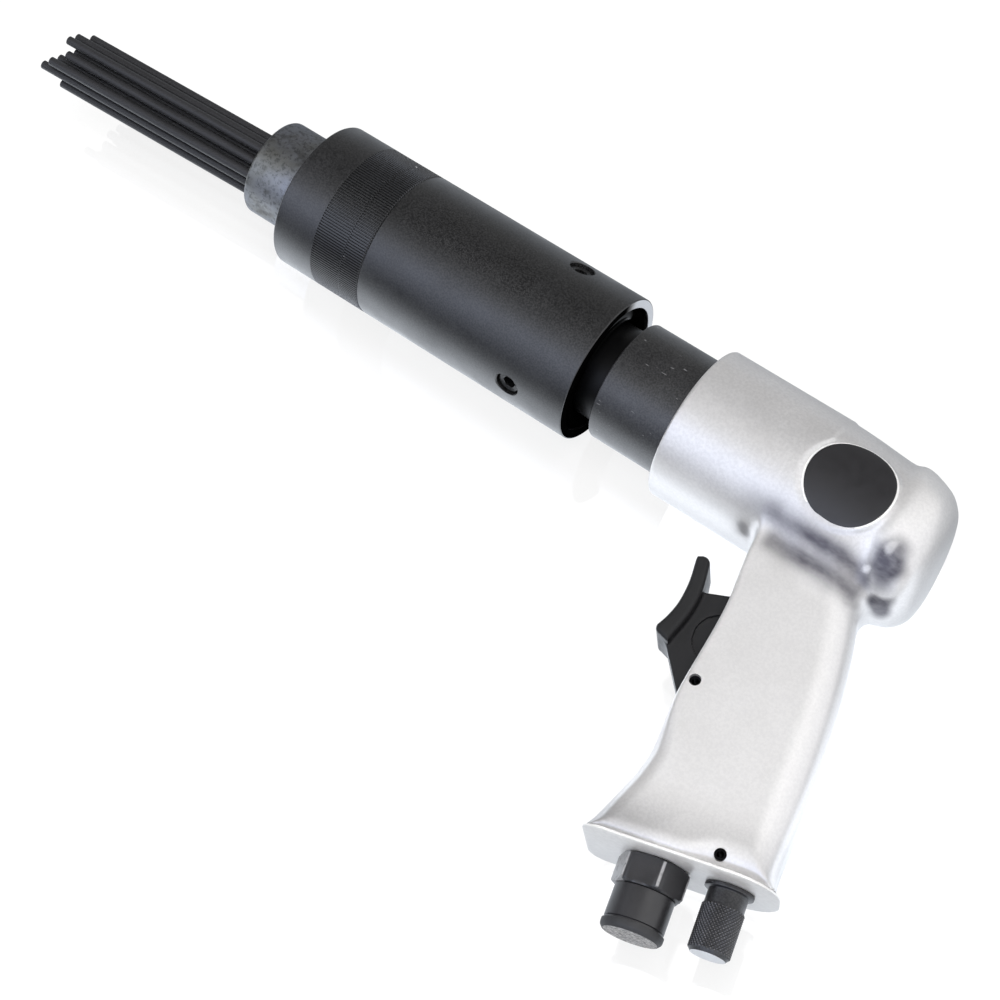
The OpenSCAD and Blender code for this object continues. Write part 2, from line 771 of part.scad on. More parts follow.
module trigger() {
    front = [for (i = [0:blade_steps]) blade_front(i / blade_steps)];
    back = [for (i = [blade_steps:-1:0]) blade_front(i / blade_steps) + [0, blade_t]];
    hub = arc([trigger_pin_s, trigger_pin_t], hub_r, hub_start, hub_end, blade_steps);
    color(BLACK_PLASTIC) in_handle() difference() {
        union() {
            linear_extrude(blade_w, center = true) polygon(concat(front, heel, back));
            linear_extrude(web_w, center = true) polygon(concat(
                [[web_top_s, web_back_t], [web_waist_s, web_back_t]], hub, [web_tip], web_front));
        }
        cross_rod(trigger_pin_s, trigger_pin_t, blade_w, pin_r + run_fit);
    }
}

module trigger_pin() {
    color(STEEL) in_handle() spring_pin(trigger_pin_s, trigger_pin_t, trigger_pin_len);
}

// Hollow pin across the handle
module spring_pin(s, t, across) {
    difference() {
        cross_rod(s, t, across, pin_r);
        cross_rod(s, t, across + over, pin_r - pin_wall);
    }
}

module throttle_stem() {
    color(BRASS) in_handle() union() {
        throttle_rod(stem_nose_t + stem_r, stem_head_t + over, stem_r);
        translate([throttle_s, stem_nose_t + stem_r, 0]) sphere(r = stem_r);
        throttle_rod(stem_head_t, stem_head_t + stem_head_len, stem_head_r);
        throttle_rod(stem_head_t, stem_head_t + stem_head_len + stem_tail_len, stem_tail_r);
    }
}

module throttle_seal() {
    color(RUBBER) in_handle() difference() {
        throttle_rod(stem_head_t - stem_seal_t, stem_head_t, stem_head_r - stem_seal_edge);
        throttle_rod(0, stem_head_t + over, stem_r + run_fit);
    }
}

module throttle_bush() {
    color(BRASS) in_handle() difference() {
        throttle_rod(slot_back_t, bush_end_t, bush_r);
        throttle_rod(0, bush_end_t + over, stem_r + run_fit);
    }
}

module throttle_seat() {
    color(BRASS) in_handle() difference() {
        throttle_rod(seat_t, seat_end_t, bush_r);
        throttle_rod(seat_t - over, seat_end_t + over, seat_hole_r);
    }
}

module throttle_spring() {
    start = stem_head_t + stem_head_len + spring_gap;
    height = throttle_spring_end_t - spring_gap - start;
    color(STEEL) in_handle() translate([throttle_s, start, 0]) rotate([-90, 0, 0])
        coil(throttle_spring_r, throttle_wire, height, throttle_spring_turns);
}

// Air inlet and regulator

module air_inlet() {
    color(BLACK_STEEL) in_handle() difference() {
        union() {
            handle_rod(0, handle_len - inlet_screw_len, handle_len + over, inlet_screw_r);
            translate([handle_len, 0, 0]) rotate([0, 90, 0]) rotate([0, 0, hex_turn])
                cylinder(h = hex_len, d = hex_af / cos(30), $fn = 6);
            handle_rod(0, hex_end_s - over, spigot_end_s, spigot_r);
        }
        handle_rod(0, inlet_seat_s, spigot_end_s + over, inlet_bore_r);
        handle_rod(0, screen_s, inlet_seat_s + over, screen_r + run_fit);
        handle_rod(0, handle_len - inlet_screw_len - over, inlet_seat_s + over, inlet_flow_r);
    }
}

module inlet_screen() {
    color(BRASS) in_handle() difference() {
        handle_rod(0, screen_s, screen_s + screen_t, screen_r);
        for (a = screen_angles) translate([0, screen_ring_r * cos(a), screen_ring_r * sin(a)])
            handle_rod(0, screen_s - over, screen_s + screen_t + over, screen_hole_r);
        handle_rod(0, screen_s - over, screen_s + screen_t + over, screen_hole_r);
    }
}

module dust_cap() {
    color(BLACK_PLASTIC) in_handle() rotate([0, 90, 0]) rotate_extrude() polygon([
        [0, cap_s], [spigot_r + run_fit, cap_s], [spigot_r + run_fit, cap_s - cap_skirt],
        [cap_r, cap_s - cap_skirt], [cap_r, cap_end_s - cap_edge], [cap_r - cap_edge, cap_end_s],
        [0, cap_end_s]]);
}

module regulator() {
    color(BLACK_STEEL) in_handle() translate([0, regulator_t, 0]) difference() {
        rotate([0, 90, 0]) rotate_extrude() polygon([
            [0, regulator_tip_s], [regulator_stem_r, regulator_tip_s],
            [regulator_stem_r, regulator_pin_s - regulator_groove_w / 2],
            [regulator_groove_r, regulator_pin_s - regulator_groove_w / 2],
            [regulator_groove_r, regulator_pin_s + regulator_groove_w / 2],
            [regulator_stem_r, regulator_pin_s + regulator_groove_w / 2],
            [regulator_stem_r, handle_len + knob_flange_gap], [knob_flange_r, handle_len + knob_flange_gap],
            [knob_flange_r, handle_len + knob_flange], [knob_neck_r, handle_len + knob_flange],
            [knob_neck_r, handle_len + knob_flange + knob_neck_len],
            [knob_r, handle_len + knob_flange + knob_neck_len], [knob_r, knob_end_s - knob_edge],
            [knob_r - knob_edge, knob_end_s], [0, knob_end_s]]);
        translate([regulator_seal_s, 0, 0]) rotate([0, 90, 0]) rotate_extrude()
            translate([regulator_stem_r, 0]) circle(d = seal_d + seal_gap);
        cross_rod(regulator_port_s, 0, knob_d, regulator_cross_r);
    }
}

module regulator_seal() {
    color(RUBBER) in_handle() translate([0, regulator_t, 0]) intersection() {
        translate([regulator_seal_s, 0, 0]) rotate([0, 90, 0]) rotate_extrude()
            translate([regulator_stem_r, 0]) circle(d = seal_d);
        handle_rod(0, regulator_seal_s - seal_d, regulator_seal_s + seal_d, regulator_stem_r);
    }
}

module regulator_pin() {
    across = 2 * (grip_side(regulator_pin_s) - pin_inset);
    color(STEEL) in_handle() spring_pin(regulator_pin_s, regulator_t - regulator_pin_off, across);
}

housing();
name_disc();
barrel();
barrel_seal();
valve_case_front();
valve_case_rear();
valve_disc();
valve_dowel();
piston();
anvil();
clamp_collar();
buffer_rings();
rear_tube();
set_screws();
front_sleeve();
nose();
needle_holder();
return_spring();
for (i = [0:18]) needle(i);
trigger();
trigger_pin();
throttle_stem();
throttle_seal();
throttle_bush();
throttle_seat();
throttle_spring();
air_inlet();
inlet_screen();
dust_cap();
regulator();
regulator_seal();
regulator_pin();
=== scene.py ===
import math
import bmesh
import bpy
import numpy as np
from mathutils import Matrix, Vector


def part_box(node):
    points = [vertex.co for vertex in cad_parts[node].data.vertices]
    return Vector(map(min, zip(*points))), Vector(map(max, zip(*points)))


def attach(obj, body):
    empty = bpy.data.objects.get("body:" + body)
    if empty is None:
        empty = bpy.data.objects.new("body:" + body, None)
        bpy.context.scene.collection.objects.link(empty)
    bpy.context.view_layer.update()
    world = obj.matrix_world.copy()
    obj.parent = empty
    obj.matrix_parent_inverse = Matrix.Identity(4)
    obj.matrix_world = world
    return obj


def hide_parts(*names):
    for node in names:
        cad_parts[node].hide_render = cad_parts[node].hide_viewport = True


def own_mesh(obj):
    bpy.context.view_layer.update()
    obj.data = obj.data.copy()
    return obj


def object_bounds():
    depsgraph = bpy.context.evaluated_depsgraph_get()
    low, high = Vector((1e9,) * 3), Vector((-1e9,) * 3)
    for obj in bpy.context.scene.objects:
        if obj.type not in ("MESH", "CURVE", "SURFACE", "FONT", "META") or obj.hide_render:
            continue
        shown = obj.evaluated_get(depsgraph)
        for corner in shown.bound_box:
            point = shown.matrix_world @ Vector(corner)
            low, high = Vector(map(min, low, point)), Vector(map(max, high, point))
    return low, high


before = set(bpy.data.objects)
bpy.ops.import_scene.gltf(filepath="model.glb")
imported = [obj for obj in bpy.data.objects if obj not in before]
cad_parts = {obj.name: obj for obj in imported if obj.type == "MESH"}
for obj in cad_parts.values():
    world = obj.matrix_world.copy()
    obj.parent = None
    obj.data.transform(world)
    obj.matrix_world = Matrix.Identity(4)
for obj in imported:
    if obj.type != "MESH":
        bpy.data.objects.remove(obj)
cad_low, cad_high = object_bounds()

# The table: a white glossy sheet under soft light, which takes the tool's shadow and a faint mirror image.
# It is staging and no part of the tool. The camera looks down on the tool's left side from beyond its foot.
scene = bpy.context.scene
scene.view_settings.view_transform = "Standard"
MM = 0.001
WHITE = (1, 1, 1, 1)
TABLE_HALF, TABLE_GAP = 4.0, 0.3 * MM

tube_low, tube_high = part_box("rear_tube")
barrel_axis = Vector((tube_high.x, (tube_low.y + tube_high.y) / 2, (tube_low.z + tube_high.z) / 2))


def node(tree, kind, inputs=None, **settings):
    """Adds one node; its inputs are values, or the sockets of other nodes."""
    made = tree.nodes.new(kind)
    for key, value in settings.items():
        setattr(made, key, value)
    for key, value in (inputs or {}).items():
        if isinstance(value, bpy.types.NodeSocket):
            tree.links.new(value, made.inputs[key])
        else:
            made.inputs[key].default_value = value
    return made


def ranged(tree, value, low, high, to_low=0.0, to_high=1.0):
    """Takes a value's run from low to high to the run from to_low to to_high."""
    return node(tree, "ShaderNodeMapRange", {"Value": value, "From Min": low, "From Max": high,
                                             "To Min": to_low, "To Max": to_high}).outputs[0]


def counted(tree, operation, a, b):
    return node(tree, "ShaderNodeMath", {0: a, 1: b}, operation=operation).outputs[0]


def mixed(tree, share, first, second):
    return node(tree, "ShaderNodeMixShader", {0: share, 1: first.outputs[0], 2: second.outputs[0]})


def bare_tree(owner):
    """The node tree of a material or of the world, emptied."""
    owner.use_nodes = True
    owner.node_tree.nodes.clear()
    return owner.node_tree


def sight(tree):
    """What kind of ray meets a surface, and whether the camera sees it, straight or through something clear."""
    rays = node(tree, "ShaderNodeLightPath").outputs
    return rays, counted(tree, "MAXIMUM", rays["Is Camera Ray"], rays["Is Transmission Ray"])


def staged(name, points, faces, material):
    mesh = bpy.data.meshes.new(name)
    mesh.from_pydata(points, [], faces)
    mesh.materials.append(material)
    made = bpy.data.objects.new(name, mesh)
    scene.collection.objects.link(made)
    return made


table_white = bpy.data.materials.new("table_white")
tree = bare_tree(table_white)
rays, seen = sight(tree)
paint = node(tree, "ShaderNodeBsdfDiffuse", {"Color": (0.86, 0.86, 0.86, 1)})
lacquer = node(tree, "ShaderNodeBsdfGlossy", {"Color": WHITE, "Roughness": 0.03})
sheet = mixed(tree, 0.72, paint, lacquer)
place = node(tree, "ShaderNodeTexCoord").outputs["Object"]
reach = node(tree, "ShaderNodeVectorMath", {0: place}, operation="LENGTH").outputs["Value"]
glow = node(tree, "ShaderNodeEmission", {"Color": WHITE, "Strength": ranged(tree, reach, 0.4, 0.9, 1.6, 2.0)})
top_view = mixed(tree, 0.52, sheet, glow)
across = node(tree, "ShaderNodeSeparateXYZ", {0: place}).outputs["Y"]
behind, near, distant = (
    ranged(tree, across, barrel_axis.y + start, barrel_axis.y + end, first, last)
    for start, end, first, last in ((-0.052, 0.03, 1.0, 0.25), (-0.12, -0.07, 1.2, 2.75), (-0.7, -0.15, 0.1, 1.0)))
strength = counted(tree, "MULTIPLY", counted(tree, "MULTIPLY", behind, near), distant)
mirrored = node(tree, "ShaderNodeEmission", {"Color": (0.91, 0.965, 1.04, 1), "Strength": strength})
bounce = node(tree, "ShaderNodeBsdfDiffuse", {"Color": (0.5, 0.5, 0.5, 1)})
shown = mixed(tree, seen, mixed(tree, rays["Is Glossy Ray"], bounce, mirrored), top_view)
node(tree, "ShaderNodeOutputMaterial", {"Surface": shown.outputs[0]})
table_corners = ((-1, -1), (1, -1), (1, 1), (-1, 1))
staged("table", [(x * TABLE_HALF, y * TABLE_HALF, cad_low.z - TABLE_GAP) for x, y in table_corners],
       [(0, 1, 2, 3)], table_white)

room = scene.world or bpy.data.worlds.new("room")
scene.world = room
tree = bare_tree(room)
seen = sight(tree)[1]
soft = node(tree, "ShaderNodeBackground", {"Color": WHITE, "Strength": 0.22})
bright = node(tree, "ShaderNodeBackground", {"Color": WHITE, "Strength": 1.0})
node(tree, "ShaderNodeOutputWorld", {"Surface": mixed(tree, seen, soft, bright).outputs[0]})

# The light tent: strips of cloth bowed over the table, which only the metal's reflections see. It is staging too.
# One bright cool strip hangs in front, grey cloth behind, and a card lights the housing's rear end.
tent_cloth = bpy.data.materials.new("tent_cloth")
tree = bare_tree(tent_cloth)
cloth = node(tree, "ShaderNodeAttribute", attribute_name="glow").outputs["Color"]
lit = node(tree, "ShaderNodeEmission", {"Color": cloth, "Strength": 1.0})
node(tree, "ShaderNodeOutputMaterial", {"Surface": lit.outputs[0]})
TENT_RADIUS = 1.6
tent_turns = (-89, -75, -60, -45, -30, -20, -10, 0, 10, 20, 30, 40, 50, 60, 70, 80, 86, 89.5)
tent_light = (0.45, 0.40, 0.32, 0.26, 0.25, 0.26, 0.32, 0.5, 0.85, 1.4, 2.1, 2.5, 2.1, 1.4, 0.95, 0.7, 0.25, 0.1)
tent_cool = (0, 0, 0, 0, 0, 0, 0, 0.05, 0.15, 0.3, 0.8, 1, 1, 1, 1, 0.8, 0.6, 0.5)
tent_stations, tent_lift = (-2.5, 0.1, 0.7, 2.5), (0, 0, 1.5, 1.5)
row = len(tent_stations)
tent_points = [(x, -TENT_RADIUS * math.sin(math.radians(a)), TENT_RADIUS * math.cos(math.radians(a)))
               for a in tent_turns for x in tent_stations]
tent = staged("tent", tent_points, [(i + k, i + k + 1, i + k + 1 + row, i + k + row)
                                    for i in range(0, row * (len(tent_turns) - 1), row) for k in range(row - 1)],
              tent_cloth)
glows = tent.data.attributes.new("glow", "FLOAT_COLOR", "POINT")
lights = [(max(light, lift), cool) for light, cool in zip(tent_light, tent_cool) for lift in tent_lift]
for corner, (level, cool) in zip(glows.data, lights):
    corner.color = (level * (1 - 0.1 * cool), level * (1 - 0.02 * cool), level * (1 + 0.2 * cool), 1)
end_card = staged("end_card", [(1.2, -1.2, 0.05), (1.2, 1.2, 0.05), (1.2, 1.2, 1.4), (1.2, -1.2, 1.4)],
                  [(0, 1, 2, 3)], tent_cloth)
for corner in end_card.data.attributes.new("glow", "FLOAT_COLOR", "POINT").data:
    corner.color = (1.45, 1.46, 1.5, 1)
for cloth_piece in (tent, end_card):
    cloth_piece.visible_camera = cloth_piece.visible_diffuse = False
    cloth_piece.visible_shadow = cloth_piece.visible_transmission = False


def softbox(name, place, size, power, colour):
    lamp = bpy.data.lights.new(name, "AREA")
    lamp.shape, lamp.size, lamp.size_y = "RECTANGLE", size[0], size[1]
    lamp.energy, lamp.color = power, colour
    made = bpy.data.objects.new(name, lamp)
    made.location = place
    made.rotation_euler = (Vector((0, 0, 0.02)) - Vector(place)).to_track_quat("-Z", "Y").to_euler()
    made.visible_glossy = False
    scene.collection.objects.link(made)


softbox("front_box", (-0.25, -1.15, 0.72), (1.5, 0.4), 4.0, (0.93, 0.96, 1.0))
softbox("top_box", (0.15, 0.1, 1.6), (1.0, 1.0), 24.0, (1.0, 0.99, 0.985))
softbox("back_box", (0.5, 1.1, 0.8), (1.2, 0.4), 1.0, (1.0, 0.99, 0.97))

azimuth, elevation, roll = math.radians(49.584), math.radians(65.71), math.radians(-14.141)
camera_place = barrel_axis + Vector((213.2, -237.1, 624.6)) * MM
camera_back = Vector((math.sin(azimuth) * math.cos(elevation), -math.cos(azimuth) * math.cos(elevation),
                      math.sin(elevation)))
level = Vector((math.cos(azimuth), math.sin(azimuth), 0))
upward = camera_back.cross(level)
camera_right = math.cos(roll) * level + math.sin(roll) * upward
camera_up = -math.sin(roll) * level + math.cos(roll) * upward
lens = bpy.data.cameras.new("camera")
lens.sensor_width, lens.lens = 36, 80.95
lens.clip_start, lens.clip_end = 0.01, 50
camera = bpy.data.objects.new("camera", lens)
camera.matrix_world = (Matrix.Translation(camera_place)
                       @ Matrix((camera_right, camera_up, camera_back)).transposed().to_4x4())
scene.collection.objects.link(camera)
scene.camera = camera

# The housing: a polished aluminium die casting, one round body with a pistol handle and a flared foot.
# It is cast in a two-part die, bored for the cylinder, the throttle, the inlet and the regulator, and
# drilled across for two spring pins. A round flat on its left side takes the plain black disc.
HANDLE_X, HANDLE_LEAN = 68.4, math.radians(15.8)
HANDLE_LENGTH, RIM_TOP = 124.2, 123.1
down_handle = np.array((math.sin(HANDLE_LEAN), -math.cos(HANDLE_LEAN), 0.0))
across_handle = np.array((math.cos(HANDLE_LEAN), math.sin(HANDLE_LEAN), 0.0))


def flowing(points, steps=8):
    """A smooth line through the given points."""
    p = np.array(points, float)
    p = np.vstack([2 * p[0] - p[1], p, 2 * p[-1] - p[-2]])
    u = np.linspace(0, 1, steps, endpoint=False)[:, None]
    spans = [0.5 * (2 * b + (c - a) * u + (2 * a - 5 * b + 4 * c - d) * u ** 2 + (3 * b - a - 3 * c + d) * u ** 3)
             for a, b, c, d in zip(p, p[1:], p[2:], p[3:])]
    return np.vstack(spans + [p[-2:-1]])


def arc(centre, radius, first, last, steps=8):
    a = np.radians(np.linspace(first, last, steps + 1))
    return np.array(centre) + radius * np.stack([np.cos(a), np.sin(a)], 1)


def ease(value, first, last):
    """Rises smoothly from 0 at first to 1 at last."""
    f = np.clip((value - first) / (last - first), 0, 1)
    return f * f * (3 - 2 * f)


def outline_field(outline, margin=12, step=0.25):
    """Signed distance to a closed outline, kept on a fine grid and read between its points."""
    a = np.array(outline, float)
    low, high = a.min(0) - margin, a.max(0) + margin
    u, v = np.arange(low[0], high[0], step), np.arange(low[1], high[1], step)
    p = np.stack(np.meshgrid(u, v, indexing="ij"), -1)
    nearest, inside = np.full(p.shape[:2], 1e9), np.zeros(p.shape[:2], bool)
    for start, end in zip(a, np.roll(a, -1, 0)):
        edge, off = end - start, p - start
        if not edge.any():
            continue
        share = np.clip(off @ edge / (edge @ edge), 0, 1)
        nearest = np.minimum(nearest, ((off - share[..., None] * edge) ** 2).sum(-1))
        if edge[1]:
            beside = (start[1] > p[..., 1]) != (end[1] > p[..., 1])
            inside ^= beside & (off[..., 0] < off[..., 1] * edge[0] / edge[1])
    table = np.sqrt(nearest) * np.where(inside, -1, 1)

    def read(x, y):
        i = np.clip((x - low[0]) / step, 0, len(u) - 1.001)
        j = np.clip((y - low[1]) / step, 0, len(v) - 1.001)
        i0, j0 = i.astype(int), j.astype(int)
        fi, fj = i - i0, j - j0
        return ((table[i0, j0] * (1 - fi) + table[i0 + 1, j0] * fi) * (1 - fj)
                + (table[i0, j0 + 1] * (1 - fi) + table[i0 + 1, j0 + 1] * fi) * fj)
    return read


def melted(a, b, radius):
    """Union of two distances with a hollow fillet between them."""
    h = np.maximum(radius - np.abs(a - b), 0) / radius
    return np.minimum(a, b) - h * h * radius / 4


def slab(flat, height, rounding):
    """Distance to an outline raised to a height, with rounded edges."""
    u, v = flat + rounding, height + rounding
    return np.minimum(np.maximum(u, v), 0) + np.hypot(np.maximum(u, 0), np.maximum(v, 0)) - rounding


def skin(distance, low, high, step):
    """Points and faces of the surface where the distance is zero."""
    axes = [np.arange(a, b + step, step) for a, b in zip(low, high)]
    field = distance(*np.meshgrid(*axes, indexing="ij"))
    inside = field < 0
    cells = tuple(n - 1 for n in field.shape)
    total, count = np.zeros(cells + (3,)), np.zeros(cells)
    for axis in range(3):
        for u in (0, 1):
            for v in (0, 1):
                start = [u, v]
                start.insert(axis, 0)
                end = list(start)
                end[axis] = 1
                f0, f1 = (field[tuple(slice(o, o + n) for o, n in zip(c, cells))] for c in (start, end))
                crossed = (f0 < 0) != (f1 < 0)
                share = np.where(crossed, f0 / np.where(crossed, f0 - f1, 1), 0)
                for c in range(3):
                    total[..., c] += crossed * (start[c] + (share if c == axis else 0))
                count += crossed
    used = count > 0
    number = np.full(cells, -1)
    number[used] = np.arange(used.sum())
    points = (np.argwhere(used) + total[used] / count[used][:, None]) * step + np.array([a[0] for a in axes])
    faces = []
    for axis in range(3):
        b, c = (axis + 1) % 3, (axis + 2) % 3
        near = [slice(1, -1)] * 3
        near[axis] = slice(0, -1)
        far = list(near)
        far[axis] = slice(1, None)
        corners = []
        for db, dc in ((1, 1), (0, 1), (0, 0), (1, 0)):
            cell = [None] * 3
            cell[axis] = slice(0, cells[axis])
            cell[b], cell[c] = slice(1 - db, cells[b] - db), slice(1 - dc, cells[c] - dc)
            corners.append(number[tuple(cell)])
        loop = np.stack(corners, -1)
        first, second = inside[tuple(near)], inside[tuple(far)]
        faces += [loop[first & ~second], loop[~first & second][:, ::-1]]
    h = step / 4
    for _ in range(3):
        slope = np.stack([(distance(*(points + h * e).T) - distance(*(points - h * e).T)) / (2 * h)
                          for e in np.eye(3)], 1)
        move = distance(*points.T)[:, None] * slope / np.maximum((slope ** 2).sum(1), 0.3)[:, None]
        points = points - np.clip(move, -step / 2, step / 2)
    return points, np.vstack(faces)


def in_row(points):
    """Points of the barrel's drawing, in millimetres, as metres in the row frame."""
    return np.asarray(points, float) * MM + np.array(barrel_axis)


def in_handle(points):
    """Points measured down the handle, back from the inlet axis and up, as points of the barrel's drawing."""
    p = np.asarray(points, float)
    place = np.array((HANDLE_X, 0, 0)) + p[:, :1] * down_handle + p[:, 1:2] * across_handle
    place[:, 2] = p[:, 2]
    return place


def on_foot(points, back=0.0):
    """Points measured down the handle and round an axis that lies so far back from the inlet's, in the row frame."""
    return in_row(in_handle(points + np.array((0, back, 0))))


def down_and_back(x, y):
    """How far points of the barrel's drawing lie down the handle, and back from the inlet axis."""
    return (down_handle[0] * (x - HANDLE_X) + down_handle[1] * y,
            across_handle[0] * (x - HANDLE_X) + across_handle[1] * y)


def settled(made, body, slot, *nodes):
    """Rides the piece on its body and hides the solids it stands for; its slot is not used."""
    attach(made, body)
    if nodes:
        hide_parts(*nodes)


def plain_piece(name, points, faces, finish, crease=35, closed=True):
    mesh = bpy.data.meshes.new(name)
    mesh.from_pydata(np.asarray(points).tolist(), [], [list(map(int, f)) for f in faces])
    if closed:
        work = bmesh.new()
        work.from_mesh(mesh)
        bmesh.ops.remove_doubles(work, verts=work.verts, dist=1e-7)
        bmesh.ops.recalc_face_normals(work, faces=work.faces)
        work.to_mesh(mesh)
        work.free()
    mesh.shade_smooth()
    mesh.set_sharp_from_angle(angle=math.radians(crease))
    mesh.materials.append(finish.material)
    made = bpy.data.objects.new(name, mesh)
    scene.collection.objects.link(made)
    return made


def evaluated(made):
    """Replaces a piece's mesh by what its modifiers give, and drops them."""
    bpy.context.view_layer.update()
    graph = bpy.context.evaluated_depsgraph_get()
    mesh = bpy.data.meshes.new_from_object(made.evaluated_get(graph))
    made.modifiers.clear()
    made.data = mesh


def drilled(made, cutter, crease):
    """Cuts one piece by another, which is used up."""
    cut = made.modifiers.new("drilled", "BOOLEAN")
    cut.operation, cut.object, cut.solver = "DIFFERENCE", cutter, "EXACT"
    evaluated(made)
    bpy.data.objects.remove(cutter)
    made.data.shade_smooth()
    made.data.set_sharp_from_angle(angle=math.radians(crease))


class Finish:
    """A procedural finish: one Principled shader whose patterns read Object coordinates."""

    def __init__(self, name, colour, **sockets):
        self.material = bpy.data.materials.new(name)
        self.material.use_nodes = True
        self.tree = self.material.node_tree
        self.shader = self.tree.nodes["Principled BSDF"].inputs
        self.shader["Base Color"].default_value = (*colour, 1)
        for key, value in sockets.items():
            self.shader[key.replace("_", " ")].default_value = value
        self.place = node(self.tree, "ShaderNodeTexCoord").outputs["Object"]

    def attribute(self, name):
        return node(self.tree, "ShaderNodeAttribute", attribute_name=name).outputs["Fac"]

    def noise(self, scale, detail=3.0, roughness=0.55, stretch=(1, 1, 1), turn=(0, 0, 0)):
        mapped = node(self.tree, "ShaderNodeMapping", {"Vector": self.place, "Scale": stretch, "Rotation": turn})
        return node(self.tree, "ShaderNodeTexNoise", {"Vector": mapped.outputs[0], "Scale": scale,
                                                      "Detail": detail, "Roughness": roughness}).outputs[0]

    def spread(self, value, *limits):
        return ranged(self.tree, value, *limits)

    def product(self, a, b):
        return counted(self.tree, "MULTIPLY", a, b)

    def tint(self, share, first, second):
        """First colour where share is 0, second where it is 1."""
        colours = {key: c if isinstance(c, bpy.types.NodeSocket) else (*c, 1)
                   for key, c in ((6, first), (7, second))}
        return node(self.tree, "ShaderNodeMix", {0: share, **colours}, data_type="RGBA").outputs[2]

    def between(self, pattern, low, high, first, second):
        """First colour where a pattern is low, second where it is high."""
        return self.tint(self.spread(pattern, low, high), first, second)

    def drive(self, socket, value):
        self.tree.links.new(value, self.shader[socket])

    def colour(self, value):
        self.drive("Base Color", value)

    def roughness(self, pattern, low, high):
        self.drive("Roughness", self.spread(pattern, 0.3, 0.7, low, high))

    def bump(self, *layers):
        """Relief from layers of (height, strength, depth in millimetres)."""
        below = None
        for height, strength, depth in layers:
            inputs = {"Height": height, "Strength": strength, "Distance": depth * MM}
            if below is not None:
                inputs["Normal"] = below
            below = node(self.tree, "ShaderNodeBump", inputs).outputs[0]
        self.drive("Normal", below)


aluminium = Finish("cast_aluminium", (0.62, 0.615, 0.62), Metallic=0.42, Specular_IOR_Level=0.15,
                   Specular_Tint=(0.72, 0.72, 0.72, 1))
cloud = aluminium.noise(60, 4, 0.6)
grain = aluminium.noise(1100, 2, 0.6)
# The lighter buffed tone is real hand buffing on the grip's flat, and a painted highlight on the dome.
buffing_and_highlight = aluminium.attribute("buffing_and_highlight")
as_cast = aluminium.between(cloud, 0.3, 0.7, (0.575, 0.57, 0.572), (0.64, 0.635, 0.637))
buffed_and_highlit = aluminium.between(cloud, 0.3, 0.7, (0.705, 0.698, 0.697), (0.735, 0.728, 0.727))
pores = aluminium.product(aluminium.spread(grain, 0.36, 0.64), aluminium.spread(buffing_and_highlight, 0, 1, 0.55, 0.2))
metal = aluminium.tint(pores, aluminium.tint(buffing_and_highlight, as_cast, buffed_and_highlit), (0.5, 0.495, 0.5))
mottle = aluminium.spread(aluminium.noise(200, 3, 0.6, (0.5, 1, 1)), 0.32, 0.68, 0.82, 1.08)
# The dark purple-grey is painted shade and painted dark reflection in the fillet and under the dome, with a little
# real dirt on the foot.
shade_patch = aluminium.product(aluminium.attribute("shade_and_dirt"), mottle)
aluminium.colour(aluminium.tint(shade_patch, metal, (0.085, 0.082, 0.097)))
aluminium.roughness(cloud, 0.30, 0.36)
aluminium.bump((grain, 0.07, 0.03))

body_outline = outline_field(np.vstack([
    [(33, -60)], [(33, 19)], arc((33.6, 24.66), 0.6, 180, 90), [(74.5, 25.26)], [(75.6, 25.26)], [(76.4, 24.9)],
    flowing([(78, 24.85), (85, 24.5), (92, 24.0), (97, 23.65), (100.2, 23.6), (101.6, 23.9), (103.2, 24.5),
             (105, 24.65)]),
    flowing([(107, 24.3), (110.2, 23.3), (114.2, 21.4), (117.3, 18.0), (118.7, 14.0), (119.3, 9.0), (119.4, 4.0),
             (119.4, 0.0)]),
    [(119.4, -60)]]))
grip_front = flowing([(10, -0.1), (24, -2.6), (30, -3.5), (36, -3.85), (42, -3.95), (47.6, -4.2), (56.8, -5.4),
                      (73, -8.3), (80, -9.3), (89, -10.0), (96.5, -10.7), (103.7, -12.6), (108, -14.3),
                      (112.3, -16.1), (116.1, -17.6), (120, -19.2), (122.4, -20.5), (124.2, -21.4)])
grip_back = flowing([(124.2, 36.2), (122.6, 35.0), (120, 34.2), (116, 34.0), (106, 34.6), (95, 35.3), (83, 35.6),
                     (73, 35.5), (63.6, 35.2), (55.7, 34.6), (46, 33.5), (38, 32.2), (28, 30.4), (16, 28.2)])
grip_outline = outline_field(np.vstack([grip_front, grip_back]), margin=40)
grip_width = flowing([(-40, 15), (60, 15), (98, 15), (106, 15.1), (112, 15.5), (116, 16.0), (119, 16.6),
                      (121.5, 17.3), (123.2, 17.8), (124.2, 18), (140, 18)])
LABEL_X, PAD_RADIUS, BEND_RADIUS = 88.0, 14.4, 24.6
TRIGGER_PIN, REGULATOR_PIN, PIN_HOLE = (73.5, -5.3), (119.4, 17.7), 1.8
CYLINDER_BORE, CYLINDER_END = 20.05, 98
VALVE_BORE, VALVE_END = 16.05, 112.5
THROTTLE_S, THROTTLE_BORE, SPRING_BORE = 50, 6.05, 4.0
INLET_BORE, INLET_END = 8.05, 106.2
REGULATOR_T, REGULATOR_BORE, REGULATOR_END = 22.1, 5.55, 99.2


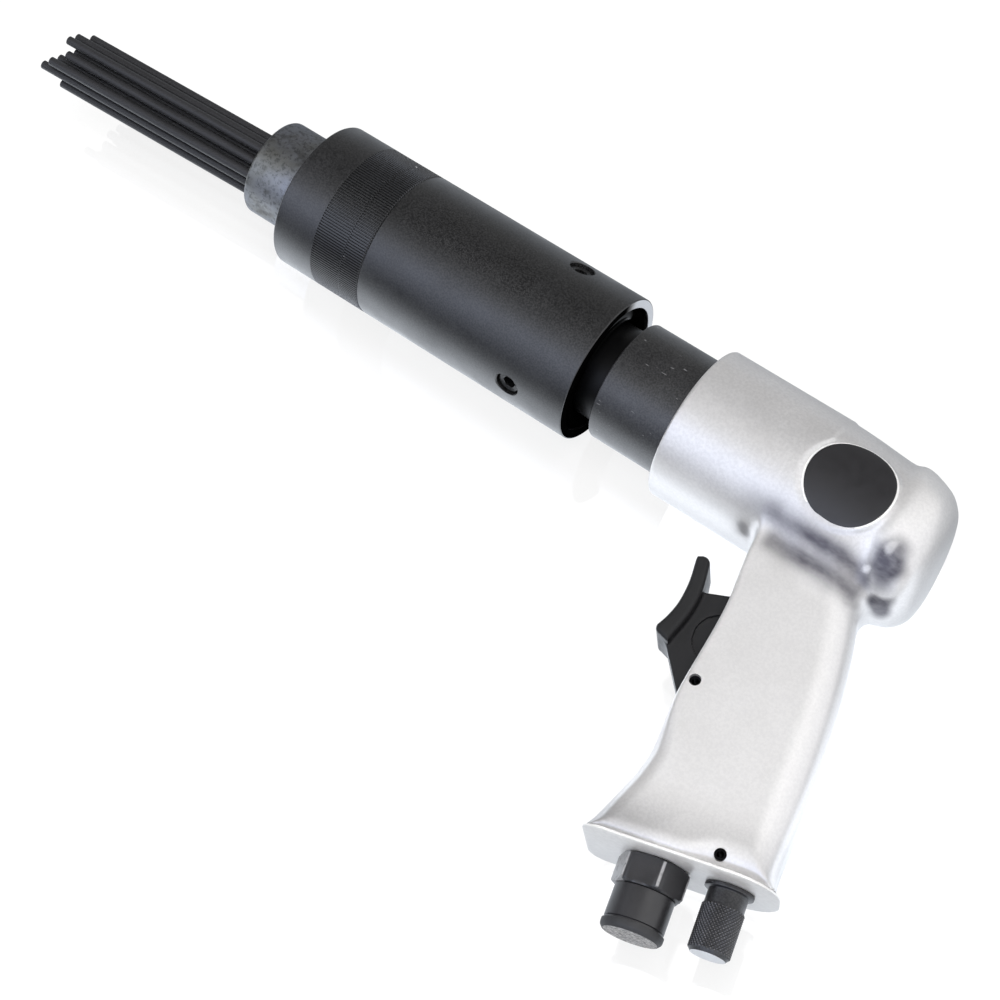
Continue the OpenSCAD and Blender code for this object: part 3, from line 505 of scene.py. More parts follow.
def housing_distance(x, y, z):
    s, t = down_and_back(x, y)
    out, side, stem = np.hypot(y, z), np.abs(z), np.hypot(s - THROTTLE_S, z)
    lean = 0.115 * y * ease(x, 80, 100)
    body = body_outline(x + lean, out)
    wrapped = BEND_RADIUS * np.arctan2(np.abs(y), z)
    pad = 1 - ease(np.hypot(x - LABEL_X, wrapped), PAD_RADIUS - 0.4, PAD_RADIUS + 1.2)
    body = body * (1 - pad) + (out - BEND_RADIUS) * pad
    front_edge = 1.0 + 5.0 * ease(s, 76, 98)
    edge = front_edge + (10 - front_edge) * ease(t, 6, 18)
    grip = slab(grip_outline(s, t), side - np.interp(s, *grip_width.T), edge)
    fillet = 1.2 + np.interp(t, (0, 27), (8.0, 12.5)) * ease(t, -2, 11) * (1 - 0.78 * ease(t, 20, 38))
    fillet = fillet + 3.8 * (1 - ease(t, -3, 8))
    casting = np.maximum(melted(body, grip, fillet), s - RIM_TOP - 0.3)
    trigger_slot = np.maximum(np.maximum(side - 5.4, np.abs(s - 60.25) - 21.25), t - 4.5)
    for hole in (trigger_slot,
                 np.maximum(out - CYLINDER_BORE, x - CYLINDER_END),
                 np.maximum(out - VALVE_BORE, x - VALVE_END),
                 np.maximum(stem - THROTTLE_BORE, np.abs(t - 11) - 11),
                 np.maximum(stem - SPRING_BORE, np.abs(t - 14.5) - 14.5),
                 np.maximum(np.hypot(t, z) - INLET_BORE, INLET_END - s),
                 np.maximum(np.hypot(t - REGULATOR_T, z) - REGULATOR_BORE, REGULATOR_END - s)):
        casting = np.maximum(casting, -hole)
    return casting


points, faces = skin(housing_distance, (31.7, -131.7, -27.1), (139.5, 27.3, 27.1), 0.76)
housing = plain_piece("housing_casting", in_row(points), faces, aluminium, crease=50, closed=False)


def turned(outline, sides):
    """Points and faces of a closed outline of (along, radius), turned about the first axis."""
    o = np.asarray(outline, float)
    a = np.linspace(0, 2 * math.pi, sides, endpoint=False)
    rings = np.stack([np.repeat(o[:, :1], sides, 1), o[:, 1:] * np.cos(a), o[:, 1:] * np.sin(a)], -1)
    i, j = np.meshgrid(np.arange(len(o)), np.arange(sides), indexing="ij")
    k, m = (i + 1) % len(o), (j + 1) % sides
    faces = np.stack([i * sides + j, i * sides + m, k * sides + m, k * sides + j], -1)
    return rings.reshape(-1, 3), faces.reshape(-1, 4)


for s, t in (TRIGGER_PIN, REGULATOR_PIN):
    points, faces = turned([(-30, 0), (-30, PIN_HOLE), (30, PIN_HOLE), (30, 0)], 40)
    drill = on_foot(points[:, [1, 2, 0]] + np.array((s, 0, 0)), t)
    drilled(housing, plain_piece("pin_hole", drill, faces, aluminium), crease=50)


def shaded_and_dirty(points):
    """How much painted shade and dark reflection the casting gets at points of the barrel's drawing: in the handle's
    fillet and under the dome, with small painted glints left lighter, and a little real dirt on the foot's flare.
    """
    x, y, z = points.T
    s, t = down_and_back(x, y)
    wander = points + 0.45 * np.sin(points[:, [1, 2, 0]] * 0.7 + 0.4 * points[:, [2, 0, 1]])

    def spot(centre, size, inner=0.5, outer=1.25):
        return 1 - ease(np.linalg.norm((wander - np.array(centre)) / np.array(size), axis=1), inner, outer)

    def band(depth, width):
        return np.exp(-((y + depth + 0.02 * (x - 85)) / width) ** 2)
    # The two bands along the fillet are painted dark reflections and shade; the pocket, wedge, corner and front
    # spots are painted shade too.
    upper = band(18.3, 3.5) * (0.3 * ease(x, 60, 68) + 0.47 * ease(x, 67, 74) + 0.18 * ease(x, 80, 88))
    lower = band(24.6, 3.4) * (0.76 * ease(x, 72.5, 77) + 0.14 * ease(x, 80, 88))
    bands = (upper + lower - 0.7 * upper * lower) * ease(z, 8, 14) * (1 - ease(x, 106, 111))
    pocket = spot((109.3, -13.2, 19), (6, 8.2, 12)) - 0.5 * spot((108.3, -9.3, 22.4), (1.5, 2.2, 4))
    wedge = spot((113, -21.7, 8.5), (4.4, 4.2, 7)) - 0.9 * spot((112, -19.3, 14), (5, 1.5, 3))
    corner = 0.6 * spot((105, -25.8, 13), (4.6, 3.8, 6), 0.1)
    front = 0.5 * spot((66.9, -23.8, 8.6), (2.6, 2.2, 3))
    # The smudges on the foot's flare are real dirt.
    foot = ease(s, 110, 121) * ease(z, 11, 15) * (0.06 + 0.12 * (1 - ease(t, -14, -2)) + 0.1 * ease(t, 20, 30))
    # A painted glint lightens the painted shade at one small spot.
    glint = spot((105.5, -17.6, 17.3), (1.2, 1.0, 3))
    darkest = np.maximum.reduce([bands, 0.97 * pocket, 0.95 * wedge, corner, front, foot])
    return np.clip(darkest * (1 - 0.8 * glint), 0, 1)


def with_attribute(made, name, values):
    made.data.attributes.new(name, "FLOAT", "POINT").data.foreach_set("value", np.asarray(values, np.float32))


def drawn(made):
    """A piece's points back in the barrel's drawing, in millimetres."""
    return (np.array([v.co for v in made.data.vertices]) - np.array(barrel_axis)) / MM


def lofted(rings):
    """Points and faces of rings with the same number of points, closed at both ends."""
    n = len(rings[0])
    points = np.vstack(rings)
    faces = [[i * n + j, i * n + (j + 1) % n, (i + 1) * n + (j + 1) % n, (i + 1) * n + j]
             for i in range(len(rings) - 1) for j in range(n)]
    return points, faces + [list(range(n))[::-1], list(range(len(points) - n, len(points)))]


cast_points = drawn(housing)
x, y, z = cast_points.T
grip_rubbing = ease(-y, 18.5, 22) * (1 - ease(down_and_back(x, y)[0], 108, 118))
# The casting gets painted shade in its fillet and under the dome, and real dirt on its foot.
with_attribute(housing, "shade_and_dirt", shaded_and_dirty(cast_points))
# The grip's flat is buffed by the hand; the dome from x=97 back gets the same lighter tone as a painted highlight.
with_attribute(housing, "buffing_and_highlight", np.maximum(grip_rubbing, 0.8 * ease(x, 97, 104)))
settled(housing, "tool_body", "cast_aluminium", "housing")

# A lighter copy of the casting's aluminium: it is painted bright to stand for the light on the foot's face, and on
# the bead round the label for a painted highlight. Its fine grain stands for milling marks.
foot_bright = Finish("foot_milled", (0.86, 0.855, 0.85), Metallic=0.15)
milled = foot_bright.noise(700, 3, 0.6)
foot_bright.colour(foot_bright.between(milled, 0.3, 0.7, (0.86, 0.855, 0.85), (0.95, 0.945, 0.94)))
foot_bright.roughness(milled, 0.3, 0.42)
foot_bright.bump((milled, 0.06, 0.03))
foot_plan = np.vstack([arc((-15.4, 12), 6, 180, 90), arc((22.4, 4), 14, 90, 0), arc((22.4, -4), 14, 0, -90),
                       arc((-15.4, -12), 6, -90, -180)])
foot_middle, FOOT_HALF = foot_plan.mean(0), 18
rim_rings = []
for s, inset in ((RIM_TOP, 0.5), (RIM_TOP + 0.25, 0.05), (HANDLE_LENGTH - 0.3, 0), (HANDLE_LENGTH, 0.35)):
    plan = foot_middle + (foot_plan - foot_middle) * (1 - inset / FOOT_HALF)
    rim_rings.append(np.column_stack([np.full(len(plan), s), plan]))
points, faces = lofted(rim_rings)
rim = plain_piece("housing_foot_rim", on_foot(points), faces, foot_bright, crease=40)
for t, radius in ((0, INLET_BORE), (REGULATOR_T, REGULATOR_BORE)):
    above, below = RIM_TOP - 4, HANDLE_LENGTH + 4
    points, faces = turned([(above, 0), (above, radius), (below, radius), (below, 0)], 64)
    drilled(rim, plain_piece("foot_hole", on_foot(points, t), faces, foot_bright), crease=40)
settled(rim, "tool_body", "cast_aluminium")

# The label: a plain black plastic disc, bare of any mark, punched from sheet and glued round the body's left side
# on its raised pad. Its edge is rolled a little, and a thin bead of the casting runs round it, made bright in the
# foot's lighter finish as a painted highlight.
def eased(*corners, steps=4):
    """An outline from corners of (along, radius) or, where a corner is softened, (along, radius, rounding)."""
    made = []
    for k, (x, r, *rounding) in enumerate(corners):
        p = np.array((x, r), float)
        if not rounding:
            made.append(p)
            continue
        a, b = (np.array(corners[n % len(corners)][:2], float) for n in (k - 1, k + 1))
        a, b = (p + (q - p) / np.linalg.norm(q - p) * rounding[0] for q in (a, b))
        made += [(1 - f) ** 2 * a + 2 * f * (1 - f) * p + f * f * b for f in np.linspace(0, 1, steps + 1)]
    return np.array(made)


def lathed(name, finish, sides, *corners, place=in_row):
    """A piece turned to an outline of corners and put in its place."""
    points, faces = turned(eased(*corners), sides)
    return plain_piece(name, place(points), faces, finish)


def round_body(points):
    """Bends a flat round piece over the pad on the body's left side."""
    turn, rise = points[:, 2] / BEND_RADIUS, BEND_RADIUS + points[:, 0]
    return in_row(np.stack([LABEL_X + points[:, 1], rise * np.sin(turn), rise * np.cos(turn)], 1))


disc_black = Finish("label_black", (0.012, 0.0115, 0.013))
disc_black.roughness(disc_black.noise(300, 3), 0.36, 0.5)
disc_black.bump((disc_black.noise(2400, 2), 0.08, 0.05))
disc = lathed("label_disc", disc_black, 96, (0.02, 0), (0.02, 13.4), (0.5, 13.4, 0.25), (0.5, 12),
              (0.5, 8), (0.5, 4), (0.5, 0), place=round_body)
settled(disc, "tool_body", "name_disc", "name_disc")
# The bead takes the foot's lighter finish, so its bright ring is a painted highlight.
bead = lathed("label_bead", foot_bright, 128, (-0.3, 13.45), (0.22, 13.45, 0.1), (0.22, 14.0, 0.25),
              (-0.3, 14.25), place=round_body)
settled(bead, "tool_body", "cast_aluminium")

# The cylinder: a steel barrel, turned, bored for the piston and blacked, pressed into the housing's mouth.
# Its bare length shows small bright nicks from handling. The seal ring and the valve lie behind it.
def black_steel(name, colour, rough, nicks, specular=0.6):
    """Blacked steel: satin, faintly grainy, and bright where it is nicked."""
    made = Finish(name, colour, Specular_IOR_Level=specular)
    blotch, grit = made.noise(90, 4), made.noise(1900, 1, 0.5)
    dark, pale, pit, crest = (tuple(share * c + lift for c in colour)
                              for share, lift in ((0.75, 0), (1.3, 0), (0.25, 0), (1, 0.02)))
    tone = made.tint(0.7, made.tint(blotch, dark, pale), made.between(grit, 0.36, 0.64, pit, crest))
    scratch = made.spread(made.noise(1500, 1, 0.5, (0.22, 1, 1), (0, 0.4, 0.9)), 0.66, 0.72)
    nick = made.product(scratch, made.spread(made.noise(190, 2), 0.66 - nicks, 0.7 - nicks))
    made.colour(made.tint(made.product(nick, 0.6), tone, (0.26, 0.26, 0.27)))
    made.roughness(blotch, rough - 0.06, rough + 0.06)
    made.bump((grit, 0.5, 0.045))
    return made


BARREL_BORE, BARREL_RADIUS, NECK_RADIUS = 9.5, 20, 16
barrel_black = black_steel("barrel_black", (0.012, 0.012, 0.013), 0.36, 0.075)
barrel = lathed("barrel_turned", barrel_black, 160, (6.9, BARREL_BORE), (6.9, BARREL_RADIUS, 0.7),
                (20, BARREL_RADIUS), (40, BARREL_RADIUS), (84, BARREL_RADIUS, 0.3), (84, BARREL_BORE))
settled(barrel, "tool_body", "black_steel", "barrel")
# The neck's steel is painted far blacker than the barrel's, as painted shade deep in the tube's mouth.
neck_black = Finish("neck_black", (0.0015, 0.0015, 0.0016), Specular_IOR_Level=0.12)
neck_black.roughness(neck_black.noise(120, 3), 0.3, 0.4)
neck = lathed("barrel_neck", neck_black, 160, (-36.7, BARREL_BORE), (-36.7, NECK_RADIUS, 0.5),
              (7.2, NECK_RADIUS), (7.2, BARREL_BORE))
settled(neck, "tool_body", "black_steel")

# The hammer and its valve: ground steel pieces inside the cylinder, with moulded seal rings.
# They are turned, hardened and ground, and none of them shows while the tool is whole.
ground_steel = Finish("ground_steel", (0.45, 0.45, 0.46), Metallic=1.0)
ground = ground_steel.noise(700, 3, stretch=(0.1, 1, 1))
ground_steel.colour(ground_steel.tint(ground, (0.38, 0.38, 0.39), (0.52, 0.52, 0.53)))
ground_steel.roughness(ground, 0.29, 0.38)
ground_steel.bump((ground, 0.08, 0.05))
seal_rubber = Finish("seal_rubber", (0.0015, 0.0015, 0.0015))
seal_rubber.drive("Specular IOR Level", seal_rubber.spread(seal_rubber.attribute("shine"), 0, 1, 0.0, 0.4))
seal_rubber.roughness(seal_rubber.noise(160, 3), 0.08, 0.16)
seal_rubber.bump((seal_rubber.noise(900, 2), 0.06, 0.05))
turned_brass = Finish("turned_brass", (0.62, 0.46, 0.20), Metallic=1.0)
turned_brass.roughness(turned_brass.noise(500, 3), 0.29, 0.4)
turned_brass.bump((turned_brass.noise(1400, 2), 0.08, 0.05))
pin_steel = Finish("pin_steel", (0.012, 0.012, 0.013), Metallic=1.0)
pin_steel.roughness(pin_steel.noise(900, 2), 0.35, 0.5)
for finish, names in ((ground_steel, ("valve_case_front", "valve_case_rear", "valve_disc", "valve_dowel",
                                      "piston", "anvil", "clamp_collar", "needle_holder")),
                      (seal_rubber, ("barrel_seal", "throttle_seal", "regulator_seal")),
                      (turned_brass, ("throttle_stem", "throttle_bush", "throttle_seat", "inlet_screen")),
                      (pin_steel, ("trigger_pin", "regulator_pin"))):
    for name in names:
        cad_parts[name].material_slots[0].material = finish.material

# The buffer rings: two moulded rubber rings between the cylinder's neck and the tube, which take up the recoil.
# The rear one fills the tube's mouth and shines there.
def turn_on_barrel(made):
    """The angle of a piece's points round the barrel, in degrees from its top towards the handle."""
    y, z = drawn(made).T[1:]
    return np.degrees(np.arctan2(-y, z))


def stretch_of(turn, rise, fall):
    """Comes up over the angles of rise and goes down over those of fall."""
    return ease(turn, *rise) * (1 - ease(turn, *fall))


RING_RADIUS, RING_PITCH = 2.9, 6.1
for k, name in enumerate(("buffer_ring_rear", "buffer_ring_front")):
    points, faces = turned(arc((-RING_PITCH / 2 - RING_PITCH * k, 19), RING_RADIUS, 0, 345, 23), 128)
    ring = plain_piece(name, in_row(points), faces, seal_rubber)
    with_attribute(ring, "shine", stretch_of(turn_on_barrel(ring), (-50, -25), (5, 30)))
    settled(ring, "tool_body", "rubber", *(("buffer_rings",) if k == 0 else ()))

# The rear tube: cut from steel pipe, turned, drilled and tapped for three set screws, and blacked.
# It slides over the cylinder's neck and is held by the screws through a clamp collar.
SCREW_X, SCREW_TURNS, SCREW_HOLE = -20.7, (75, 195, 315), 4.08
TUBE_RADIUS, TUBE_BORE = 25, 22
tube_black = black_steel("tube_black", (0.004, 0.004, 0.0045), 0.36, -0.08)
tube = lathed("tube_turned", tube_black, 192, (-79.9, TUBE_BORE), (-79.9, TUBE_RADIUS, 0.35),
              (-50, TUBE_RADIUS), (-29, TUBE_RADIUS), (-12.5, TUBE_RADIUS), (0, TUBE_RADIUS, 0.45),
              (0, TUBE_BORE, 0.3), (-12.5, TUBE_BORE), (-29, TUBE_BORE))
for turn in SCREW_TURNS:
    points, faces = turned([(14, 0), (14, SCREW_HOLE), (24.55, SCREW_HOLE), (25.6, 4.9), (25.6, 0)], 48)
    spin = np.array(Matrix.Rotation(math.radians(turn), 3, "X"))
    points = points[:, [1, 2, 0]] @ spin.T + np.array((SCREW_X, 0, 0))
    drilled(tube, plain_piece("screw_hole", in_row(points), faces, tube_black), crease=30)
settled(tube, "tool_body", "black_steel", "rear_tube")

# The faced end of the tube is bare steel all round. It is painted bare and bright only over the turn where light
# falls on it, with a painted glint along the top of its outer edge, and painted black as shade elsewhere.
end_shade_and_light = Finish("tube_end_black", (0.002, 0.002, 0.002), Roughness=0.4, Specular_IOR_Level=0.0)
bare = end_shade_and_light.attribute("bare")
blacking_and_shade = end_shade_and_light.tint(end_shade_and_light.noise(500, 2), (0.001, 0.001, 0.001), (0.004, 0.004, 0.004))
end_shade_and_light.colour(end_shade_and_light.tint(bare, blacking_and_shade, (0.9, 0.9, 0.91)))
end_shade_and_light.drive("Metallic", bare)
tube_end = lathed("tube_faced_end", end_shade_and_light, 160, (-0.4, TUBE_BORE), (-0.4, 24.9), (0.03, 24.62, 0.02),
                  (0.03, TUBE_BORE, 0.02))
turn = turn_on_barrel(tube_end)
outer_edge = np.hypot(*drawn(tube_end).T[1:]) > 24.8
edge_glint = outer_edge * stretch_of(turn, (-40, -18), (12, 24))
with_attribute(tube_end, "bare", np.maximum(stretch_of(turn, (-125, -108), (-48, -30)), 0.8 * edge_glint))
settled(tube_end, "tool_body", "bare_steel")

# The set screws: three socket screws of alloy steel, cold headed, thread rolled and blacked.
# They are driven in below the tube's surface with a hex key and clamp it to the neck.
def new_tree(name, **inputs):
    """A Geometry Nodes tree with these named inputs and a finish, and what its inputs give."""
    tree = bpy.data.node_groups.new(name, "GeometryNodeTree")
    for key, kind in (*inputs.items(), ("Finish", "Material")):
        tree.interface.new_socket(key.replace("_", " "), in_out="INPUT", socket_type="NodeSocket" + kind)
    tree.interface.new_socket("Made", in_out="OUTPUT", socket_type="NodeSocketGeometry")
    return tree, node(tree, "NodeGroupInput").outputs


def end_tree(tree, shape, finish):
    """Makes the tree's shape a real mesh in its finish and hands it out."""
    real = node(tree, "GeometryNodeRealizeInstances", {"Geometry": shape.outputs[0]})
    done = node(tree, "GeometryNodeSetMaterial", {"Geometry": real.outputs[0], "Material": finish})
    node(tree, "NodeGroupOutput", {0: done.outputs[0]})


def studs_tree():
    """Repeats a shape in rows round the first axis, every second row turned by a share of a step."""
    tree, given = new_tree("studs_round_an_axis", Shape="Geometry", Count="Int", Rows="Int", Row_pitch="Float",
                           Row_shift="Float", First_turn="Float")
    number = counted(tree, "MULTIPLY", given["Count"], given["Rows"])
    line = node(tree, "GeometryNodeMeshLine", {"Count": number, "Offset": (0, 0, 0)})
    index = node(tree, "GeometryNodeInputIndex").outputs[0]
    row = counted(tree, "DIVIDE", index, given["Count"])
    row = node(tree, "ShaderNodeMath", {0: row}, operation="FLOOR").outputs[0]
    column = counted(tree, "SUBTRACT", index, counted(tree, "MULTIPLY", row, given["Count"]))
    odd_row = counted(tree, "MODULO", row, 2.0)
    shifted = counted(tree, "ADD", column, counted(tree, "MULTIPLY", odd_row, given["Row shift"]))
    step = counted(tree, "DIVIDE", 2 * math.pi, given["Count"])
    turn = counted(tree, "ADD", given["First turn"], counted(tree, "MULTIPLY", shifted, step))
    place = node(tree, "ShaderNodeCombineXYZ", {"X": counted(tree, "MULTIPLY", row, given["Row pitch"])})
    moved = node(tree, "GeometryNodeSetPosition", {"Geometry": line.outputs[0], "Position": place.outputs[0]})
    spin = node(tree, "ShaderNodeCombineXYZ", {"X": turn})
    repeated = node(tree, "GeometryNodeInstanceOnPoints", {"Points": moved.outputs[0], "Instance": given["Shape"],
                                                           "Rotation": spin.outputs[0]})
    end_tree(tree, repeated, given["Finish"])
    return tree


studs = studs_tree()


def with_inputs(made, tree, finish, **inputs):
    """Runs a Geometry Nodes tree on a piece, with its named inputs, and keeps the plain mesh."""
    inputs["Finish"] = finish.material
    modifier = made.modifiers.new(tree.name, "NODES")
    modifier.node_group = tree
    for item in tree.interface.items_tree:
        key = item.name.replace(" ", "_")
        if item.in_out == "INPUT" and key in inputs:
            modifier[item.identifier] = inputs[key]
    evaluated(made)


ANY_FLATS = 40


def hex_ring(height, across_flats, limit, sides, turn=0.0, corner=0.0):
    """A ring round the third axis on a hexagon's faces, held inside a circle; wide flats leave the circle."""
    a = np.linspace(0, 2 * math.pi, sides, endpoint=False)
    off = (a - turn) % (math.pi / 3) - math.pi / 6
    r = across_flats / 2 / np.cos(off)
    r = np.minimum(np.minimum(r, across_flats / 2 / math.cos(math.pi / 6) - corner), limit)
    return np.stack([r * np.cos(a), r * np.sin(a), np.full(sides, float(height))], 1)


def piece_in_place(made):
    """Moves a mesh drawn in metres about the barrel axis to its place in the row frame."""
    made.data.transform(Matrix.Translation(barrel_axis))
    return made


SOCKET_FLATS = 4.0
screw_black = black_steel("screw_black", (0.003, 0.003, 0.0035), 0.36, -0.1, specular=0.3)
screw_rings = [hex_ring(z, ANY_FLATS, r, 48) for z, r in ((16.2, 3.2), (16.8, 4.0), (23.1, 4.0), (23.65, 3.5),
                                                          (23.65, 2.9), (23.45, 2.55))]
screw_rings += [hex_ring(z, SOCKET_FLATS, 9, 48) for z in (23.35, 19.8)]
points, faces = lofted(screw_rings)
screws = plain_piece("set_screws_black", (points + np.array((SCREW_X, 0, 0))) * MM, faces, screw_black, crease=25)
with_inputs(screws, studs, screw_black, Count=3, Rows=1, First_turn=math.radians(SCREW_TURNS[0]))
settled(piece_in_place(screws), "tool_body", "black_steel", "set_screws")

# The front sleeve: turned from bar, threaded into the tube and blacked, with a knurled band to grip by hand.
# The band is rolled in two passes side by side, and its crests are rubbed bright in places.
sleeve_black = black_steel("sleeve_black", (0.006, 0.006, 0.007), 0.36, -0.08)
sleeve = lathed("sleeve_turned", sleeve_black, 192, (-114.5, 16.56), (-114.5, 25, 0.6), (-106, 25),
                (-99, 25, 0.05), (-98.9, 24.55, 0.05), (-80.1, 24.55, 0.1), (-80.1, 21.94), (-74, 21.94, 0.4),
                (-74, 20.3), (-109.5, 20.3), (-109.5, 16.56))
settled(sleeve, "tool_body", "black_steel", "front_sleeve")

knurl_black = black_steel("knurl_black", (0.008, 0.008, 0.009), 0.36, 0.0)
along = node(knurl_black.tree, "ShaderNodeSeparateXYZ", {0: knurl_black.place}).outputs["X"]
seam_start, seam_full, seam_fading, seam_end = (barrel_axis.x + x * MM for x in (-89, -87.2, -86, -84.5))
by_seam = knurl_black.product(knurl_black.spread(along, seam_start, seam_full),
                              knurl_black.spread(along, seam_fading, seam_end, 1.0, 0.0))
speck = knurl_black.product(by_seam, knurl_black.spread(knurl_black.noise(520, 2), 0.68, 0.74))
rolled = knurl_black.tint(knurl_black.noise(900, 2), (0.004, 0.004, 0.0045), (0.02, 0.02, 0.021))
knurl_black.colour(knurl_black.tint(speck, rolled, (0.3, 0.3, 0.31)))
KNURLS, RIDGE_FOOT, RIDGE_SIDE, RIDGE_HEIGHT, RIDGE_END = 172, 24.5, 24.6, 0.385, 0.35
ridge_points, ridge_faces = [], []
for k, (x0, x1) in enumerate(((-99.2, -87.45), (-87.55, -80.15))):
    lean = np.array(Matrix.Rotation(k * math.pi / KNURLS, 3, "X"))
    ridge = [[(x, -0.36, RIDGE_FOOT), (x, -0.17, RIDGE_SIDE + RIDGE_HEIGHT * cut),
              (x, 0.17, RIDGE_SIDE + RIDGE_HEIGHT * cut), (x, 0.36, RIDGE_FOOT)]
             for x, cut in ((x0, 1), (x0 + RIDGE_END, 1), (x1 - RIDGE_END, 1), (x1, 1 - k))]
    points, faces = lofted(np.array(ridge) @ lean.T)
    ridge_faces += [[corner + len(ridge_points) for corner in face] for face in faces]
    ridge_points += list(points)
knurl = plain_piece("sleeve_knurl", np.array(ridge_points) * MM, ridge_faces, knurl_black, crease=20)
with_inputs(knurl, studs, knurl_black, Count=KNURLS, Rows=1)
settled(piece_in_place(knurl), "tool_body", "black_steel")

# The nose: a bare steel ring, turned from bar, that guides the needles and is held by its collar in the sleeve.
# It is left unblacked, so it is stained blue and brown by oil and handling.
nose_steel = Finish("nose_steel", (0.20, 0.20, 0.21), Metallic=0.9, Specular_Tint=(0.55, 0.55, 0.56, 1))
lathe_marks = nose_steel.noise(900, 2, stretch=(1, 0.05, 0.05))
stain = nose_steel.noise(260, 5, 0.68)
tone = nose_steel.between(nose_steel.noise(45, 3), 0.35, 0.65, (0.16, 0.161, 0.15), (0.215, 0.227, 0.265))
for pattern, low, high, strength, dark in (
        (nose_steel.noise(150, 4, 0.6), 0.54, 0.66, 0.6, (0.07, 0.068, 0.06)),
        (nose_steel.noise(760, 4, 0.7), 0.5, 0.62, 0.55, (0.045, 0.045, 0.043))):
    tone = nose_steel.tint(nose_steel.product(nose_steel.spread(pattern, low, high), strength), tone, dark)
nose_steel.colour(tone)
nose_steel.drive("Roughness", nose_steel.spread(stain, 0.35, 0.7, 0.34, 0.55))
nose_steel.bump((lathe_marks, 0.12, 0.06), (stain, 0.1, 0.1))
nose = lathed("nose_turned", nose_steel, 160, (-134.5, 13.3, 0.5), (-134.5, 16.5, 1.1), (-120, 16.5),
              (-109.5, 16.5), (-109.5, 20.0, 0.2), (-105.5, 20.0, 0.2), (-105.5, 13.3, 0.2))
settled(nose, "tool_body", "bare_steel", "nose")

# The needles: cut lengths of hard drawn wire with an upset head, blacked, loose in their holder.
# Each hangs on its own, so they lean together and their square-cut tips are staggered.
WIRE_RADIUS, HEAD_RADIUS, HEAD_LENGTH = 1.5, 2.05, 3
needle_black = Finish("needle_black", (0.02, 0.02, 0.022), Specular_IOR_Level=0.35)
wire_grain = needle_black.noise(500, 3, stretch=(0.08, 1, 1))
needle_black.colour(needle_black.tint(wire_grain, (0.014, 0.014, 0.015), (0.03, 0.03, 0.033)))
needle_black.roughness(wire_grain, 0.48, 0.62)
needle_black.bump((needle_black.noise(2000, 2), 0.12, 0.04))
for name in sorted(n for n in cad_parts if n.startswith("needle_") and n != "needle_holder"):
    solid = np.unique(np.array([v.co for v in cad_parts[name].data.vertices]).round(7), axis=0)
    direction = np.linalg.svd(solid - solid.mean(0), full_matrices=False)[2][0]
    direction = direction * np.sign(direction[0])
    along = solid @ direction
    head, tip = (solid[np.abs(along - end) < 0.05 * MM].mean(0) for end in (along.max(), along.min()))
    length = np.linalg.norm(head - tip) / MM
    points, faces = turned(eased((0, 0), (0, HEAD_RADIUS, 0.3), (-HEAD_LENGTH, HEAD_RADIUS, 0.25),
                                 (-HEAD_LENGTH - 0.2, WIRE_RADIUS), (-length / 2, WIRE_RADIUS),
                                 (-length, WIRE_RADIUS, 0.16), (-length, 0)), 24)
    u = (head - tip) / np.linalg.norm(head - tip)
    v = np.cross((0, 0, 1), u)
    v /= np.linalg.norm(v)
    points = head + (points[:, :1] * u + points[:, 1:2] * v + points[:, 2:] * np.cross(u, v)) * MM
    settled(plain_piece(name + "_wire", points, faces, needle_black, crease=40), name, "needle_steel", name)

# The springs: hard drawn wire wound on a mandrel, one behind the nose that returns the needle holder,
# and a small one behind the throttle stem.
def spring_tree():
    """Round wire wound along the third axis."""
    tree, given = new_tree("wound_wire", Turns="Float", Radius="Float", Height="Float", Wire_radius="Float")
    path = node(tree, "GeometryNodeCurveSpiral", {"Resolution": 40, "Rotations": given["Turns"],
                                                  "Start Radius": given["Radius"], "End Radius": given["Radius"],
                                                  "Height": given["Height"]})
    wire = node(tree, "GeometryNodeCurvePrimitiveCircle", {"Resolution": 14, "Radius": given["Wire radius"]})
    coil = node(tree, "GeometryNodeCurveToMesh", {"Curve": path.outputs[0], "Profile Curve": wire.outputs[0],
                                                  "Fill Caps": True})
    end_tree(tree, coil, given["Finish"])
    return tree


wound_wire = spring_tree()


def spring(name, turns, radius, wire, start, axis, height):
    """A spring from start along axis, in millimetres of the barrel's drawing."""
    made = plain_piece(name, [(0, 0, 0)], [], ground_steel)
    with_inputs(made, wound_wire, ground_steel, Turns=turns, Radius=radius * MM, Height=(height - wire) * MM,
                Wire_radius=wire / 2 * MM)
    turn = Vector((0, 0, 1)).rotation_difference(Vector(axis)).to_matrix().to_4x4()
    foot = in_row(np.array(start) + np.array(axis) * wire / 2)
    made.data.transform(Matrix.Translation(Vector(foot)) @ turn)
    made.data.shade_smooth()
    return made


HOLDER_TRAVEL, STEM_TRAVEL, STEM_SPRING = 6.1, 3.7, 11.8
holder_low, holder_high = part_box("return_spring")
spring_length = (holder_high.x - holder_low.x) / MM
nose_end = (holder_low.x - barrel_axis.x) / MM
return_spring = spring("return_spring_wound", 6, 16.3, 2.6, (nose_end, 0, 0), (1, 0, 0), spring_length)
settled(return_spring, "tool_body", "tool_steel", "return_spring")
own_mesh(return_spring)
spring_foot = in_handle(np.array([(THROTTLE_S, 28.9, 0)]))[0]
throttle_spring = spring("throttle_spring_wound", 5, 2.8, 0.9, spring_foot, -across_handle, STEM_SPRING)
settled(throttle_spring, "tool_body", "tool_steel", "throttle_spring")
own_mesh(throttle_spring)

